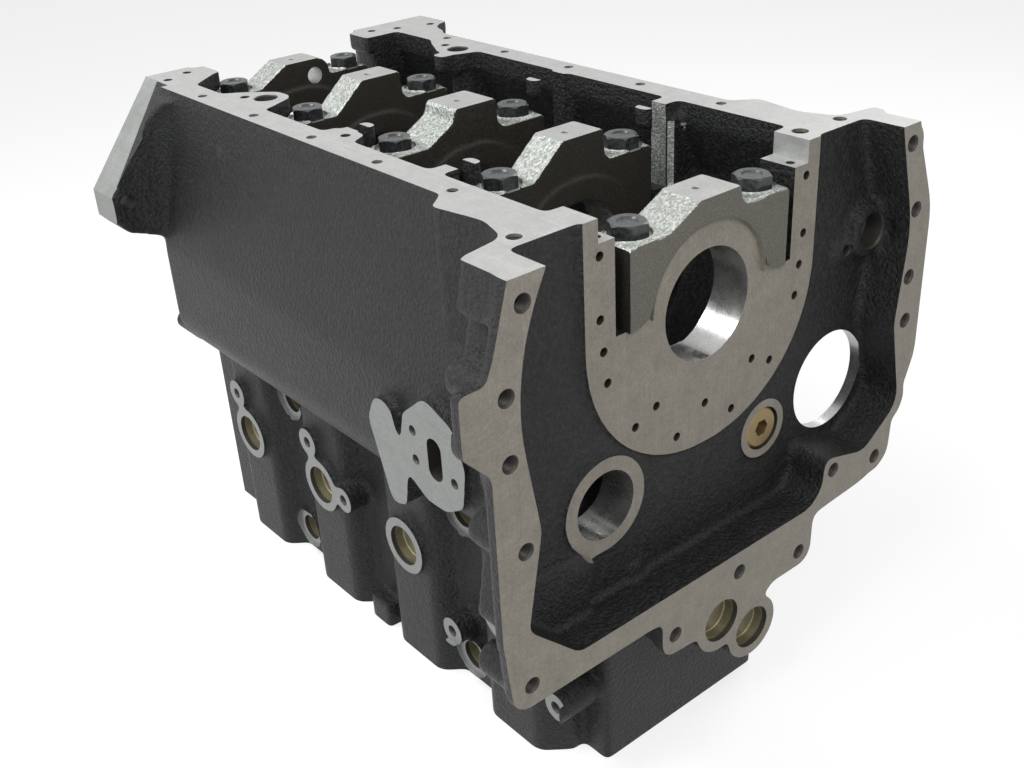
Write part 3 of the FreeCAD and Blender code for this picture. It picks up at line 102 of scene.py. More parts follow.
def read_place(position):
    """Millimetres about the crank axis and bearing 1 from the row's metres."""
    return (Vector(position) - ORIGIN) / MM


# Materials
class Nodes:
    """Small helper that adds and links shader nodes of one material."""

    def __init__(self, name):
        self.material = bpy.data.materials.new(name)
        self.material.use_nodes = True
        self.tree = self.material.node_tree
        self.shader = self.tree.nodes["Principled BSDF"]
        self.place = self.add("ShaderNodeTexCoord").outputs["Object"]

    def add(self, kind, inputs=(), **settings):
        node = self.tree.nodes.new(kind)
        for setting, value in settings.items():
            setattr(node, setting, value)
        for socket, value in dict(inputs).items():
            if isinstance(value, bpy.types.NodeSocket):
                self.tree.links.new(value, node.inputs[socket])
            else:
                node.inputs[socket].default_value = value
        return node

    def stretched(self, scale):
        return self.add("ShaderNodeMapping", {"Vector": self.place, "Scale": scale}).outputs[0]

    def noise(self, scale, detail=3.0, roughness=0.55, vector=None):
        return self.add("ShaderNodeTexNoise", {
            "Vector": vector or self.place, "Scale": scale, "Detail": detail,
            "Roughness": roughness,
        }).outputs["Fac"]

    def ramp(self, value, stops):
        ramp = self.add("ShaderNodeValToRGB", {"Fac": value})
        while len(ramp.color_ramp.elements) < len(stops):
            ramp.color_ramp.elements.new(0.5)
        for element, (position, shade) in zip(ramp.color_ramp.elements, stops):
            element.position = position
            element.color = (shade, shade, shade, 1)
        return ramp.outputs["Color"]

    def between(self, value, low, high):
        return self.add("ShaderNodeMapRange", {
            "Value": value, "From Min": 0.3, "From Max": 0.7, "To Min": low, "To Max": high,
        }).outputs["Result"]

    def mix(self, factor, one, two, blend="MIX"):
        one, two = [(*item, 1) if isinstance(item, tuple) else item for item in (one, two)]
        return self.add("ShaderNodeMix", {0: factor, 6: one, 7: two},
                        data_type="RGBA", blend_type=blend).outputs[2]

    def bump(self, height, strength, distance, normal=None):
        inputs = {"Height": height, "Strength": strength, "Distance": distance}
        if normal:
            inputs["Normal"] = normal
        return self.add("ShaderNodeBump", inputs).outputs["Normal"]

    def finish(self, **inputs):
        for socket, value in inputs.items():
            target = self.shader.inputs[socket.replace("_", " ")]
            if isinstance(value, bpy.types.NodeSocket):
                self.tree.links.new(value, target)
            else:
                target.default_value = value
        return self.material


def cast_material(name, dark, light, roughness, grain=1.0, gloss=0.5, metallic=0.0, scale=340,
                  grain_glint_and_shade_amount=1.0):
    """Sand-cast skin: grains of a few millimetres, pits between them and slow waves under them; the
    grain colour is lighter on the grain tops as painted glints and darker in the pits as painted shade.
    """
    nodes = Nodes(name)
    grains = nodes.noise(scale, 3, 0.62)
    fine = nodes.noise(4 * scale, 3, 0.6)
    slow = nodes.noise(45, 3, 0.6)
    patches = nodes.noise(16, 4, 0.62)
    color = nodes.mix(nodes.between(patches, 0.2, 0.8), dark, light)
    # Grain colour: lighter on the grain tops as painted glints, darker in the pits as painted shade.
    grain_glint_and_shade = nodes.ramp(grains, [(0.38, 1 - 0.55 * grain_glint_and_shade_amount), (0.52, 1.0), (0.68, 1 + 0.9 * grain_glint_and_shade_amount)])
    color = nodes.mix(1.0, color, grain_glint_and_shade, "MULTIPLY")
    normal = nodes.bump(slow, 0.4, 0.0016)
    normal = nodes.bump(grains, min(grain, 1.0), 0.0021 * grain, normal)
    normal = nodes.bump(fine, 0.7 * min(grain, 1.0), 0.00028, normal)
    return nodes.finish(Base_Color=color, Normal=normal, Metallic=metallic, Specular_IOR_Level=gloss,
                        Roughness=nodes.between(fine, roughness - 0.1, roughness + 0.1))


def machined_material(name, color, roughness, lay, metallic=0.5, mottle=0.12, marks=0.06):
    """Milled or bored face: fine mottling, stains, and faint parallel marks along one axis."""
    nodes = Nodes(name)
    scale = {"x": (14, 800, 800), "y": (800, 14, 800), "z": (800, 800, 14), "all": (500, 500, 500)}[lay]
    lines = nodes.noise(1.0, 3, 0.6, nodes.stretched(scale))
    spots = nodes.noise(620, 4, 0.65)
    clouds = nodes.noise(70, 5, 0.68)
    shade = nodes.between(spots, 1 - mottle, 1 + mottle)
    for part, amount in ((clouds, mottle), (lines, marks)):
        shade = nodes.add("ShaderNodeMath", {0: shade, 1: nodes.between(part, 1 - amount, 1 + amount)},
                          operation="MULTIPLY").outputs[0]
    tint = nodes.add("ShaderNodeCombineColor", {0: shade, 1: shade, 2: shade}).outputs[0]
    normal = nodes.bump(lines, 0.5, 0.00005)
    normal = nodes.bump(spots, 0.5, 0.00008, normal)
    return nodes.finish(Base_Color=nodes.mix(1.0, color, tint, "MULTIPLY"), Normal=normal,
                        Metallic=metallic,
                        Roughness=nodes.between(clouds, roughness - 0.07, roughness + 0.09))


CAST = cast_material("cast_black", (0.0100, 0.0106, 0.0104), (0.0185, 0.0192, 0.0190), 0.42, 1.0, 0.3)
# Cap iron in painted light and painted shade: cap 1 gets a lighter copy as painted light, caps 2 to 5
# and the cap end planes get a darker copy as painted shade.
CAP_PAINTED_LIGHT = cast_material("cast_cap_rear_painted_light", (0.155, 0.147, 0.123), (0.185, 0.176, 0.150), 0.55, 0.3, 0.3,
                          scale=800, grain_glint_and_shade_amount=0.35)
CAP_PAINTED_SHADE = cast_material("cast_cap_painted_shade", (0.022, 0.020, 0.016), (0.040, 0.036, 0.030), 0.50, 0.4, 0.3,
                         scale=600, grain_glint_and_shade_amount=0.6)
# Bright copy of the cap iron, a painted highlight on the upward-facing cap slopes and on the facets of a
# post.
CAP_PAINTED_HIGHLIGHT = cast_material("cast_cap_slope_painted_highlight", (0.31, 0.325, 0.305), (0.44, 0.46, 0.43), 0.34, 0.7, 0.6,
                           0.55, scale=420, grain_glint_and_shade_amount=0.6)
RAIL_FACE = machined_material("rail_milled", (0.42, 0.425, 0.415), 0.46, "y", 0.35, 0.10, 0.06)
SIDE_FACE = machined_material("side_milled", (0.30, 0.31, 0.30), 0.45, "y", 0.35, 0.12, 0.06)
FLANGE_MILLED = machined_material("flange_milled", (0.285, 0.262, 0.220), 0.50, "z", 0.2, 0.17, 0.06)
GROUND = machined_material("cap_ground", (0.37, 0.375, 0.365), 0.42, "x", 0.35, 0.12, 0.06)
BORED = machined_material("bored", (0.50, 0.50, 0.49), 0.27, "all", 0.85, 0.08)
# Hole walls coloured near black as painted shade inside the holes.
DRILLED_PAINTED_SHADE = machined_material("drilled", (0.050, 0.046, 0.040), 0.50, "all", 0.3, 0.15)
BLACK_OXIDE = cast_material("black_oxide", (0.024, 0.026, 0.027), (0.038, 0.041, 0.043), 0.36, 0.12, 0.6)
# Zinc-yellow plating, darkened as painted shade for the plugs set deep in their holes.
ZINC_WITH_PAINTED_SHADE = machined_material("zinc_yellow_painted_shade", (0.28, 0.255, 0.17), 0.40, "all", 0.6)
BRASS = machined_material("brass", (0.30, 0.22, 0.10), 0.36, "all", 0.7)


# Mesh tools
def new_object(name, mesh):
    piece = bpy.data.objects.new(name, mesh)
    bpy.context.scene.collection.objects.link(piece)
    return piece


def closed_copy(name, node):
    """Copy of a CAD node's mesh with its split vertices joined again."""
    piece = new_object(name, frame["nodes"][node].data.copy())
    work = bmesh.new()
    work.from_mesh(piece.data)
    bmesh.ops.remove_doubles(work, verts=work.verts, dist=2e-6)
    work.to_mesh(piece.data)
    work.free()
    return piece


def add_stock(piece, normal, place, stock):
    """Grow the faces in a machined plane outwards, to be cut back once the corners are round."""
    normal = Vector(normal).normalized()
    height = ORIGIN.dot(normal) + place * MM
    work = bmesh.new()
    work.from_mesh(piece.data)
    picked = [face for face in work.faces if face.normal.dot(normal) > 0.999
              and abs(face.calc_center_median().dot(normal) - height) < 5e-5]
    if picked:
        grown = bmesh.ops.extrude_face_region(work, geom=picked)["geom"]
        moved = [item for item in grown if isinstance(item, bmesh.types.BMVert)]
        bmesh.ops.translate(work, verts=moved, vec=normal * stock * MM)
        bmesh.ops.delete(work, geom=picked, context="FACES_KEEP_BOUNDARY")
    work.to_mesh(piece.data)
    work.free()


def rounded(corners, steps=8):
    """Points of a closed outline through (a, b) or (a, b, radius) corners."""
    points = []
    for index, corner in enumerate(corners):
        here = Vector(corner[:2])
        if len(corner) == 2:
            points.append(here)
            continue
        before = (Vector(corners[index - 1][:2]) - here).normalized()
        after = (Vector(corners[(index + 1) % len(corners)][:2]) - here).normalized()
        half = before.angle(after) / 2
        middle = here + (before + after).normalized() * corner[2] / math.sin(half)
        start = here + before * corner[2] / math.tan(half) - middle
        sweep = start.angle_signed(here + after * corner[2] / math.tan(half) - middle)
        for step in range(steps + 1):
            turn = Matrix.Rotation(-sweep * step / steps, 2)
            points.append(middle + turn @ start)
    return points


class Shapes:
    """Closed boxes, turned rods and prisms in millimetres, gathered into one mesh."""

    def __init__(self):
        self.work = bmesh.new()

    def box(self, low, high):
        low, high = Vector(low), Vector(high)
        matrix = Matrix.Translation((low + high) / 2) @ Matrix.Diagonal((*(high - low), 1))
        bmesh.ops.create_cube(self.work, size=1, matrix=matrix)

    def turned(self, profile, axis, centre, segments=32):
        """Round form through (place along the axis, radius) pairs, about a centre on the other axes."""
        along = "xyz".index(axis)
        others = [index for index in range(3) if index != along]
        rings = []
        for place, radius in profile:
            ring = []
            for step in range(segments):
                angle = math.tau * step / segments
                point = Vector((0, 0, 0))
                point[along] = place
                point[others[0]] = centre[0] + radius * math.cos(angle)
                point[others[1]] = centre[1] + radius * math.sin(angle)
                ring.append(self.work.verts.new(point))
            rings.append(ring)
        for one, two in zip(rings, rings[1:]):
            for step in range(segments):
                self.work.faces.new((one[step - 1], one[step], two[step], two[step - 1]))
        self.work.faces.new(rings[0])
        self.work.faces.new(rings[-1])

    def rod(self, radius, axis, start, end, centre, segments=64):
        self.turned([(start, radius), (end, radius)], axis, centre, segments)

    def prism(self, corners, axis, start, end):
        """Outline on the two other axes, in X, Y, Z order, between two places on an axis."""
        along = "xyz".index(axis)
        layers = []
        for place in (start, end):
            layer = []
            for a, b in rounded(corners):
                point = [a, b]
                point.insert(along, place)
                layer.append(self.work.verts.new(point))
            layers.append(layer)
        one, two = layers
        for step in range(len(one)):
            self.work.faces.new((one[step - 1], one[step], two[step], two[step - 1]))
        self.work.faces.new(one)
        self.work.faces.new(two)

    def object(self, name, material=None):
        bmesh.ops.recalc_face_normals(self.work, faces=self.work.faces)
        mesh = bpy.data.meshes.new(name)
        self.work.to_mesh(mesh)
        self.work.free()
        mesh.transform(HOME)
        if material:
            mesh.materials.append(material)
        return new_object(name, mesh)


def apply_modifiers(piece):
    graph = bpy.context.evaluated_depsgraph_get()
    mesh = bpy.data.meshes.new_from_object(piece.evaluated_get(graph))
    piece.modifiers.clear()
    piece.data = mesh


def cut(piece, shapes, name, material):
    """Take the shapes out of the piece; the faces that this makes get the material."""
    cutter = shapes.object(name, material)
    if material.name not in [slot.name for slot in piece.data.materials if slot]:
        piece.data.materials.append(material)
    change = piece.modifiers.new("cut", "BOOLEAN")
    change.operation = "DIFFERENCE"
    change.solver = "MANIFOLD"
    change.material_mode = "TRANSFER"
    change.object = cutter
    apply_modifiers(piece)
    bpy.data.objects.remove(cutter)


def cut_box(piece, name, material, low, high):
    shapes = Shapes()
    shapes.box(low, high)
    cut(piece, shapes, name, material)


def fill_in(piece, shapes):
    """Put shapes into the piece's mesh; the remesh that follows joins them."""
    other = shapes.object("fill")
    work = bmesh.new()
    work.from_mesh(piece.data)
    work.from_mesh(other.data)
    work.to_mesh(piece.data)
    work.free()
    bpy.data.objects.remove(other)


def round_corners(piece, voxel, passes, keep):
    """Remesh evenly, smooth the corners as a mould does, and thin the mesh out again."""
    remesh = piece.modifiers.new("remesh", "REMESH")
    remesh.mode = "VOXEL"
    remesh.voxel_size = voxel * MM
    smooth = piece.modifiers.new("smooth", "SMOOTH")
    smooth.factor = 0.5
    smooth.iterations = passes
    thin = piece.modifiers.new("thin", "DECIMATE")
    thin.ratio = keep
    apply_modifiers(piece)


def paint(piece, material, test):
    """Give a material to the faces whose middle, in millimetres, and normal pass a test."""
    if material.name not in [slot.name for slot in piece.data.materials if slot]:
        piece.data.materials.append(material)
    index = piece.data.materials.find(material.name)
    for face in piece.data.polygons:
        if test(read_place(face.center), face.normal):
            face.material_index = index


def shade(piece, angle=32):
    """Smooth shading with sharp edges where the material changes or the surface turns sharply."""
    work = bmesh.new()
    work.from_mesh(piece.data)
    for face in work.faces:
        face.smooth = True
    for edge in work.edges:
        if len(edge.link_faces) == 2:
            one, two = edge.link_faces
            edge.smooth = (one.material_index == two.material_index
                           and one.normal.angle(two.normal, 0) < math.radians(angle))
    work.to_mesh(piece.data)
    work.free()


# Drilled and tapped holes
class Hole:
    """Hole drilled from its mouth inwards, with a chamfer, and a thread where it has a pitch."""

    def __init__(self, axis, radius, mouth, inner, centre, pitch=0.0, through=0.0):
        self.axis, self.radius, self.mouth, self.inner = axis, radius, mouth, inner
        self.centre, self.pitch, self.through = centre, pitch, through
        self.out = 1 if mouth > inner else -1

    def plug(self, shapes, stock):
        shapes.rod(self.radius + 0.8, self.axis, self.mouth + self.out * stock,
                   self.inner - self.out * (0 if self.through else 1), self.centre, 24)

    def drill(self, shapes):
        chamfer = 0.1 * self.radius
        profile = [(self.mouth + self.out * 3, self.radius + chamfer),
                   (self.mouth, self.radius + chamfer), (self.mouth - self.out * chamfer, self.radius)]
        if self.pitch:
            for turn in range(6):
                depth = chamfer + (turn + 1) * self.pitch
                profile.append((self.mouth - self.out * depth, self.radius - 0.5 * self.pitch))
                profile.append((self.mouth - self.out * (depth + 0.5 * self.pitch), self.radius))
        end = self.inner - self.out * self.through
        profile.append((end, self.radius * (1 if self.through else 0.92)))
        if not self.through:
            profile.append((end - self.out * 0.5 * self.radius, 0.05))
        shapes.turned(profile, self.axis, self.centre, 28 if self.radius > 5 else 20)


def drilled(axis, radius, mouth, inner, places, **settings):
    """One hole at each place, given on all three axes or on the two across the hole."""
    along = "xyz".index(axis)
    holes = []
    for place in places:
        centre = [value for index, value in enumerate(place) if index != along or len(place) == 2]
        holes.append(Hole(axis, radius, mouth, inner, centre, **settings))
    return holes


def recorded(start):
    """Places of the holes of each mount in the record whose name begins with start."""
    places = []
    for mount in frame["record"]["mounts"]:
        if not mount["name"].startswith(start):
            continue
        dims = mount.get("dims") or {}
        centre = read_place(mount["pos_m"])
        across = dims.get("spacing_x_mm", 0) / 2
        along = dims.get("spacing_y_mm", 0) / 2
        for x in {-across, across}:
            for y in {-along, along}:
                places.append(centre + Vector((x, y, 0)))
    return places


SIDE_BOSSES = [(326.5, -199), (451.5, -199), (276.5, -236), (129, -290), (5, -286)]
RAIL_EXTRAS = [(-104, 393), (108, 403), (-107, 240), (121, 497), (98, 507), (152, 485), (-121, 497),
               (-98, 507)]
TIMING_HOLES = [(-114, 79), (120, 79), (-154, 40), (-132, -86), (-135, -143), (-104, -172),
                (-85, -228), (-92, -285), (-92, -339), (-30, -340), (30, -340), (82, -335), (82, -265),
                (84, -195), (97, -130), (126, -50), (150, 20), (160, 70)]
HOLES = (
    drilled("y", 5.6, FLANGE_FACE, FLANGE_FACE + 30, recorded("flange_hole"), pitch=1.5)
    + drilled("y", 3.0, LAND_FACE, LAND_FACE + 12, recorded("seal_bolt"))
    + drilled("z", 3.6, RAIL, RAIL - 16, recorded("sump_bolts_outer") + recorded("sump_bolts_inner")
              + recorded("sump_bolts_middle"), pitch=1.25)
    + drilled("z", 4.6, RAIL, RAIL - 16, recorded("sump_bolts_corner"), pitch=1.25)
    + drilled("z", 3.6, RAIL, RAIL - 16, RAIL_EXTRAS)
    + drilled("z", 9.0, RAIL, RAIL - 16, [(-94, 377), (106, 382)], through=4)
    + drilled("z", 5.5, RAIL, RAIL - 16, [(110, 2)], pitch=1.5)
    + drilled("z", 6.5, DECK, DECK + 60, recorded("head_bolts"))
    + drilled("z", 5.0, DECK, DECK + 12, [(40, y + side) for y in CYLINDERS for side in (-48, 48)])
    + drilled("z", 3.0, LEDGE, LEDGE - 10, [(-91, -6), (91, -6)])
    + drilled("z", 3.5, -39.5, -82, [(0, y) for y in BEARINGS])
    + drilled("x", 3.6, PAD_FACE, PAD_FACE + 18, [(103, -78), (102, -101), (58, -101)], pitch=1.25)
    + drilled("x", 4.6, PLUG_FACE, PLUG_FACE + 21, SIDE_BOSSES, pitch=1.25)
    + drilled("x", 5.6, MOUNT_FACE, MOUNT_FACE - 18,
              [(y + along, up) for y in (187.5, 312.5) for along in (-24, 24) for up in (-12, 34)],
              pitch=1.5)
    + drilled("x", 11.0, FILTER_FACE, FILTER_FACE - 26, [(250, -176)], pitch=1.5)
    + drilled("x", 4.5, FILTER_FACE, FILTER_FACE - 20, [(231, -157), (269, -157), (250, -203)])
    + drilled("y", 3.6, TIMING_FACE, TIMING_FACE - 16, TIMING_HOLES)
    + drilled("y", 10.0, TIMING_FACE, TIMING_FACE - 36, [(78, -62)])
    + drilled("y", 7.0, TIMING_FACE, TIMING_FACE - 40, [(-183, -3)], through=5)
    + drilled("y", 4.0, -17, -5, [(148, -6)])
    + drilled("y", 13.5, -22, -7.5, [(171, 4)])
)

# Casting: the rough shape
casting = closed_copy("engine_casting", "cylinder_block")
SLANT = Vector((-0.781, 0, 0.624)).normalized()
SLANT_PLACE = SLANT.dot(Vector((-129, 0, RAIL)))
STOCK = 5
for normal, place in (((0, 0, 1), RAIL), ((0, -1, 0), -FLANGE_FACE), ((0, -1, 0), -LAND_FACE),
                      ((0, 0, -1), -DECK), ((0, 1, 0), TIMING_FACE), ((-1, 0, 0), -PAD_FACE),
                      ((-1, 0, 0), -PLUG_FACE), ((-1, 0, 0), -SMALL_PLUG_FACE),
                      ((1, 0, 0), FAR_PLUG_FACE), ((1, 0, 0), MOUNT_FACE), ((1, 0, 0), FILTER_FACE),
                      ((-1, 0, 0), 196), (SLANT, SLANT_PLACE)):
    add_stock(casting, normal, place, STOCK)

fill = Shapes()
for hole in HOLES:
    hole.plug(fill, STOCK if abs(hole.mouth) > 40 else 0)
for y in CYLINDERS:
    fill.rod(CYLINDER_RADIUS + 14, "z", DECK + 1, -127, (0, y))
    for side in (-TAPPET_OFFSET, TAPPET_OFFSET):
        fill.rod(TAPPET_RADIUS + 0.8, "z", DECK + 1, -157, (CAM[0], y + side), 24)
for middle, (start, end) in zip(BEARINGS, WALLS):
    fill.rod(MAIN_RADIUS + 0.8, "y", start + 0.5, end - 0.5, (0, 0))
    fill.rod(CAM_RADIUS + 0.8, "y", start + 0.5, end - 0.5, CAM)
    fill.box((-84, start + 0.5, -2), (84, end - 0.5, 5.5))
    for side in (-BOLT_OFFSET, BOLT_OFFSET):
        fill.rod(8.8, "z", -57, -1, (side, middle), 24)
fill.box((-97.5, LAND_FACE - STOCK, -2), (97.5, 14.5, RAIL + STOCK))
fill.rod(STARTER_RADIUS + 0.5, "y", -12.5, -4.5, STARTER)
fill.rod(17.9, "y", LAND_FACE - STOCK, 0, GALLERY)
fill.rod(8.8, "y", -1, 505, GALLERY, 24)
for y, z in LARGE_PLUGS:
    fill.rod(LARGE_PLUG_RADIUS + 0.8, "x", PLUG_FACE - STOCK, -50, (y, z))
    fill.rod(LARGE_PLUG_RADIUS + 0.8, "x", 50, FAR_PLUG_FACE + STOCK, (y, z))
for y, z in SMALL_PLUGS:
    fill.rod(SMALL_PLUG_RADIUS + 0.8, "x", SMALL_PLUG_FACE - STOCK, -38, (y, z))
REAR_PLUGS = [(-10, -243), (25, -269)]
for place in REAR_PLUGS:
    fill.rod(LARGE_PLUG_RADIUS + 0.8, "y", FLANGE_FACE - STOCK, FLANGE_FACE + 26, place)
fill.box((PAD_FACE - STOCK, 70.5, -108.5), (PAD_FACE + 12.5, 87.5, -74.5))
fill_in(casting, fill)
round_corners(casting, 2.4, 9, 0.24)
casting.data.materials.clear()
casting.data.materials.append(CAST)

# Casting: machined faces
cut_box(casting, "rail", RAIL_FACE, (-FAR, -FAR, RAIL), (FAR, 2 * FAR, RAIL + 50))
cut_box(casting, "deck", RAIL_FACE, (-FAR, -FAR, DECK - 50), (FAR, 2 * FAR, DECK))
cut_box(casting, "timing", RAIL_FACE, (-FAR, TIMING_FACE, -FAR), (FAR, TIMING_FACE + 50, FAR))
cut_box(casting, "flange", FLANGE_MILLED, (-FAR, FLANGE_FACE - 50, -FAR), (FAR, FLANGE_FACE, FAR))
cut_box(casting, "land", FLANGE_MILLED, (-112.5, FLANGE_FACE - 9, -112.5), (112.5, LAND_FACE, FAR))
cut_box(casting, "side_pad", SIDE_FACE, (-220, 38, -163), (PAD_FACE, 166, -38))
cut_box(casting, "plug_bosses", SIDE_FACE, (-170, 20, -300), (PLUG_FACE, 482, -168))
cut_box(casting, "low_boss", SIDE_FACE, (-170, -3.9, -303), (PLUG_FACE, 19, -270))
cut_box(casting, "far_plug_bosses", SIDE_FACE, (FAR_PLUG_FACE, 20, -270), (150, 480, -216))
cut_box(casting, "mount_pads", SIDE_FACE, (MOUNT_FACE, 145, -30), (200, 355, 52))
for name, radius, place in (("cam_ring", 36.5, CAM),
                            ("cam_ring_tail", 16.5, (CAM[0] - 11, CAM[1] - 20)),
                            ("gallery_ring", 24, GALLERY)):
    shapes = Shapes()
    shapes.rod(radius, "y", FLANGE_FACE + 4, LAND_FACE, place)
    cut(casting, shapes, name, FLANGE_MILLED)
shapes = Shapes()
for y, z in SMALL_PLUGS:
    shapes.rod(19.5, "x", -160, SMALL_PLUG_FACE, (y, z), 40)
shapes.rod(38.5, "x", FILTER_FACE, 180, (250, -176))
cut(casting, shapes, "round_bosses", SIDE_FACE)

# Slanted edge of the front flange and the end of its ear: cast skin behind, milled band in front
for name, material, proud, top, foot in (("front_edge_cast", CAST, 0.4, 44, 44),
                                         ("front_edge", SIDE_FACE, 0.0, 20, 41)):
    shapes = Shapes()
    shapes.prism([(-116.5, 104), (-196 - proud, 3.5 + proud), (-196 - proud, -26), (-240, -26),
                  (-240, 104)], "y", TIMING_FACE - foot, TIMING_FACE + 9)
    for vert in shapes.work.verts:
        if vert.co.y < TIMING_FACE:
            vert.co.y += (foot - top) * min(max((vert.co.z - 3.5) / (RAIL - 3.5), 0), 1)
            vert.co += SLANT * proud
    cut(casting, shapes, name, material)

# Casting: bores, joint faces and the room round the caps
shapes = Shapes()
for y in CYLINDERS:
    shapes.rod(CYLINDER_RADIUS, "z", DECK - 10, -100, (0, y), 96)
cut(casting, shapes, "cylinder_bores", BORED)
shapes = Shapes()
shapes.rod(MAIN_RADIUS, "y", -100, 600, (0, 0), 128)
shapes.rod(CAM_RADIUS, "y", -100, 600, CAM, 96)
shapes.rod(STARTER_RADIUS, "y", -14, -2, STARTER, 96)
cut(casting, shapes, "line_bores", BORED)
cut_box(casting, "registers", RAIL_FACE, (-75.2, -60, 0), (75.2, 560, 7))
cut_box(casting, "cap_room", CAST, (-84.5, -60, 6), (84.5, 560, LEDGE))
# Room beside caps 2 to 4: bulkhead, side, inner end of its post and top of the room
for number, side, reach, top in ((2, -1, 98, FAR), (2, 1, 98, FAR), (3, -1, 94.5, FAR),
                                 (3, 1, 108.5, FAR), (4, -1, 98, 71), (4, 1, 98, 71)):
    low, high = sorted((side * 84, side * reach))
    middle = BEARINGS[number - 1]
    cut_box(casting, f"web_room_{number}_{side}", CAST, (low, middle - 13, 24), (high, middle + 13, top))
cut_box(casting, "rear_step", RAIL_FACE, (-98, -60, LEDGE), (98, 16, RAIL + 9))

# Casting: holes
# The walls of these holes, the bored holes and the rear plug holes are coloured near black as painted
# shade.
shapes = Shapes()
for hole in HOLES:
    hole.drill(shapes)
cut(casting, shapes, "bolt_holes", DRILLED_PAINTED_SHADE)
shapes = Shapes()
for y, z in LARGE_PLUGS:
    shapes.rod(LARGE_PLUG_RADIUS, "x", PLUG_FACE - 9, PLUG_FACE + 24, (y, z))
    shapes.rod(LARGE_PLUG_RADIUS, "x", FAR_PLUG_FACE - 24, FAR_PLUG_FACE + 9, (y, z))
for y, z in SMALL_PLUGS:
    shapes.rod(SMALL_PLUG_RADIUS, "x", SMALL_PLUG_FACE - 9, SMALL_PLUG_FACE + 24, (y, z), 48)
for y in CYLINDERS:
    for side in (-TAPPET_OFFSET, TAPPET_OFFSET):
        shapes.rod(TAPPET_RADIUS, "z", DECK - 9, -143, (CAM[0], y + side), 40)
shapes.turned([(LAND_FACE - 9, 17.2), (LAND_FACE + 4, 17.2), (LAND_FACE + 4, 14.6),
               (LAND_FACE + 15, 14.6)], "y", GALLERY, 64)
shapes.prism([(71, -75, 7.5), (71, -108, 7.5), (87, -108, 7.5), (87, -75, 7.5)], "x",
             PAD_FACE - 9, PAD_FACE + 12)
cut(casting, shapes, "bored_holes", DRILLED_PAINTED_SHADE)
for name, place in zip(("rear_plug_hole_1", "rear_plug_hole_2"), REAR_PLUGS):
    shapes = Shapes()
    shapes.rod(LARGE_PLUG_RADIUS, "y", FLANGE_FACE - 9, FLANGE_FACE + 25, place)
    cut(casting, shapes, name, DRILLED_PAINTED_SHADE)
# The end facets of the post beside cap 2 are coloured bright as a painted highlight.
paint(casting, CAP_PAINTED_HIGHLIGHT, lambda place, normal: (
    96 < place.x < 112 and 108 < place.y < 142 and 24 < place.z < 74 and normal.x < -0.5))
shade(casting)
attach(casting, "root")
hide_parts("cylinder_block")


# Main bearing caps
def bearing_cap(number):
    """Cast cap with a ground top pad, spot faces under its bolts and a bored arch."""
    middle = BEARINGS[number - 1]
    height, seat = {1: (76.5, 63), 5: (81, 65)}.get(number, (88, 65))
    front, back = middle - 22, middle + 22
    cap = closed_copy(f"bearing_cap_{number}", f"main_cap_{number}")
    add_stock(cap, (0, 0, 1), height, 2)
    add_stock(cap, (0, 0, 1), seat - 1, 3)
    add_stock(cap, (0, 0, -1), 0, 3)
    add_stock(cap, (1, 0, 0), CAP_END, 3)
    add_stock(cap, (-1, 0, 0), CAP_END, 3)
    if number == 1:
        add_stock(cap, (0, -1, 0), -LAND_FACE, 2.5)
    fill = Shapes()
    width = {1: (-15, 14.5), 3: (-18.5, 18.5)}.get(number, (-14.5, 14.5))
    fill.rod(MAIN_RADIUS + 0.8, "y", middle + width[0], middle + width[1], (0, 0))
    pad_hole = Hole("z", 2.6, height, height - 12, (3, middle))
    pad_hole.plug(fill, 2)
    for side in (-BOLT_OFFSET, BOLT_OFFSET):
        fill.rod(9.3, "z", -2, seat, (side, middle), 32)
    if number == 5:
        fill.rod(8.3, "y", front + 8, back - 8, (17, 66), 32)
    fill_in(cap, fill)
    round_corners(cap, 1.25, 7, 0.42)
    cap.data.materials.clear()
    # Cap 1 is coloured lighter as painted light, the other caps darker as painted shade.
    cap.data.materials.append(CAP_PAINTED_LIGHT if number == 1 else CAP_PAINTED_SHADE)
    # The upward-facing faces on the cap's top are coloured bright as a painted highlight.
    paint(cap, CAP_PAINTED_HIGHLIGHT, lambda place, normal: normal.z > 0.3 and place.z > 60.5)
    cut_box(cap, "joint", GROUND, (-FAR, front, -40), (FAR, back, 0))
    cut_box(cap, "pad", GROUND, (-60, front, height), (60, back, height + 30))
    # The end planes of each cap are coloured dark as painted shade.
    for name, low, high in (("left_end", -FAR, -CAP_END), ("right_end", CAP_END, FAR)):
        cut_box(cap, name, CAP_PAINTED_SHADE, (low, front, -40), (high, back, FAR))
    shapes = Shapes()
    shapes.rod(MAIN_RADIUS, "y", front, back, (0, 0), 128)
    cut(cap, shapes, "bore", BORED)
    shapes = Shapes()
    for side in (-BOLT_OFFSET, BOLT_OFFSET):
        shapes.rod(16, "z", seat - 1, seat + 60, (side, middle))
    pad_hole.drill(shapes)
    cut(cap, shapes, "spot_faces", GROUND)
    if number == 1:
        shapes = Shapes()
        shapes.prism([(-77.2, 5), (-54, 9, 14), (-55, 59, 51), (55, 59, 51), (54, 9, 14), (77.2, 5),
                      (77.2, -5), (-77.2, -5)], "y", front - 9, LAND_FACE)
        cut(cap, shapes, "ring_land", FLANGE_MILLED)
    if number == 5:
        shapes = Shapes()
        shapes.rod(7.5, "y", front, back, (17, 66), 40)
        cut(cap, shapes, "lug_hole", BORED)
    shade(cap)
    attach(cap, "root")
    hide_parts(f"main_cap_{number}")


for number in range(1, 6):
    bearing_cap(number)

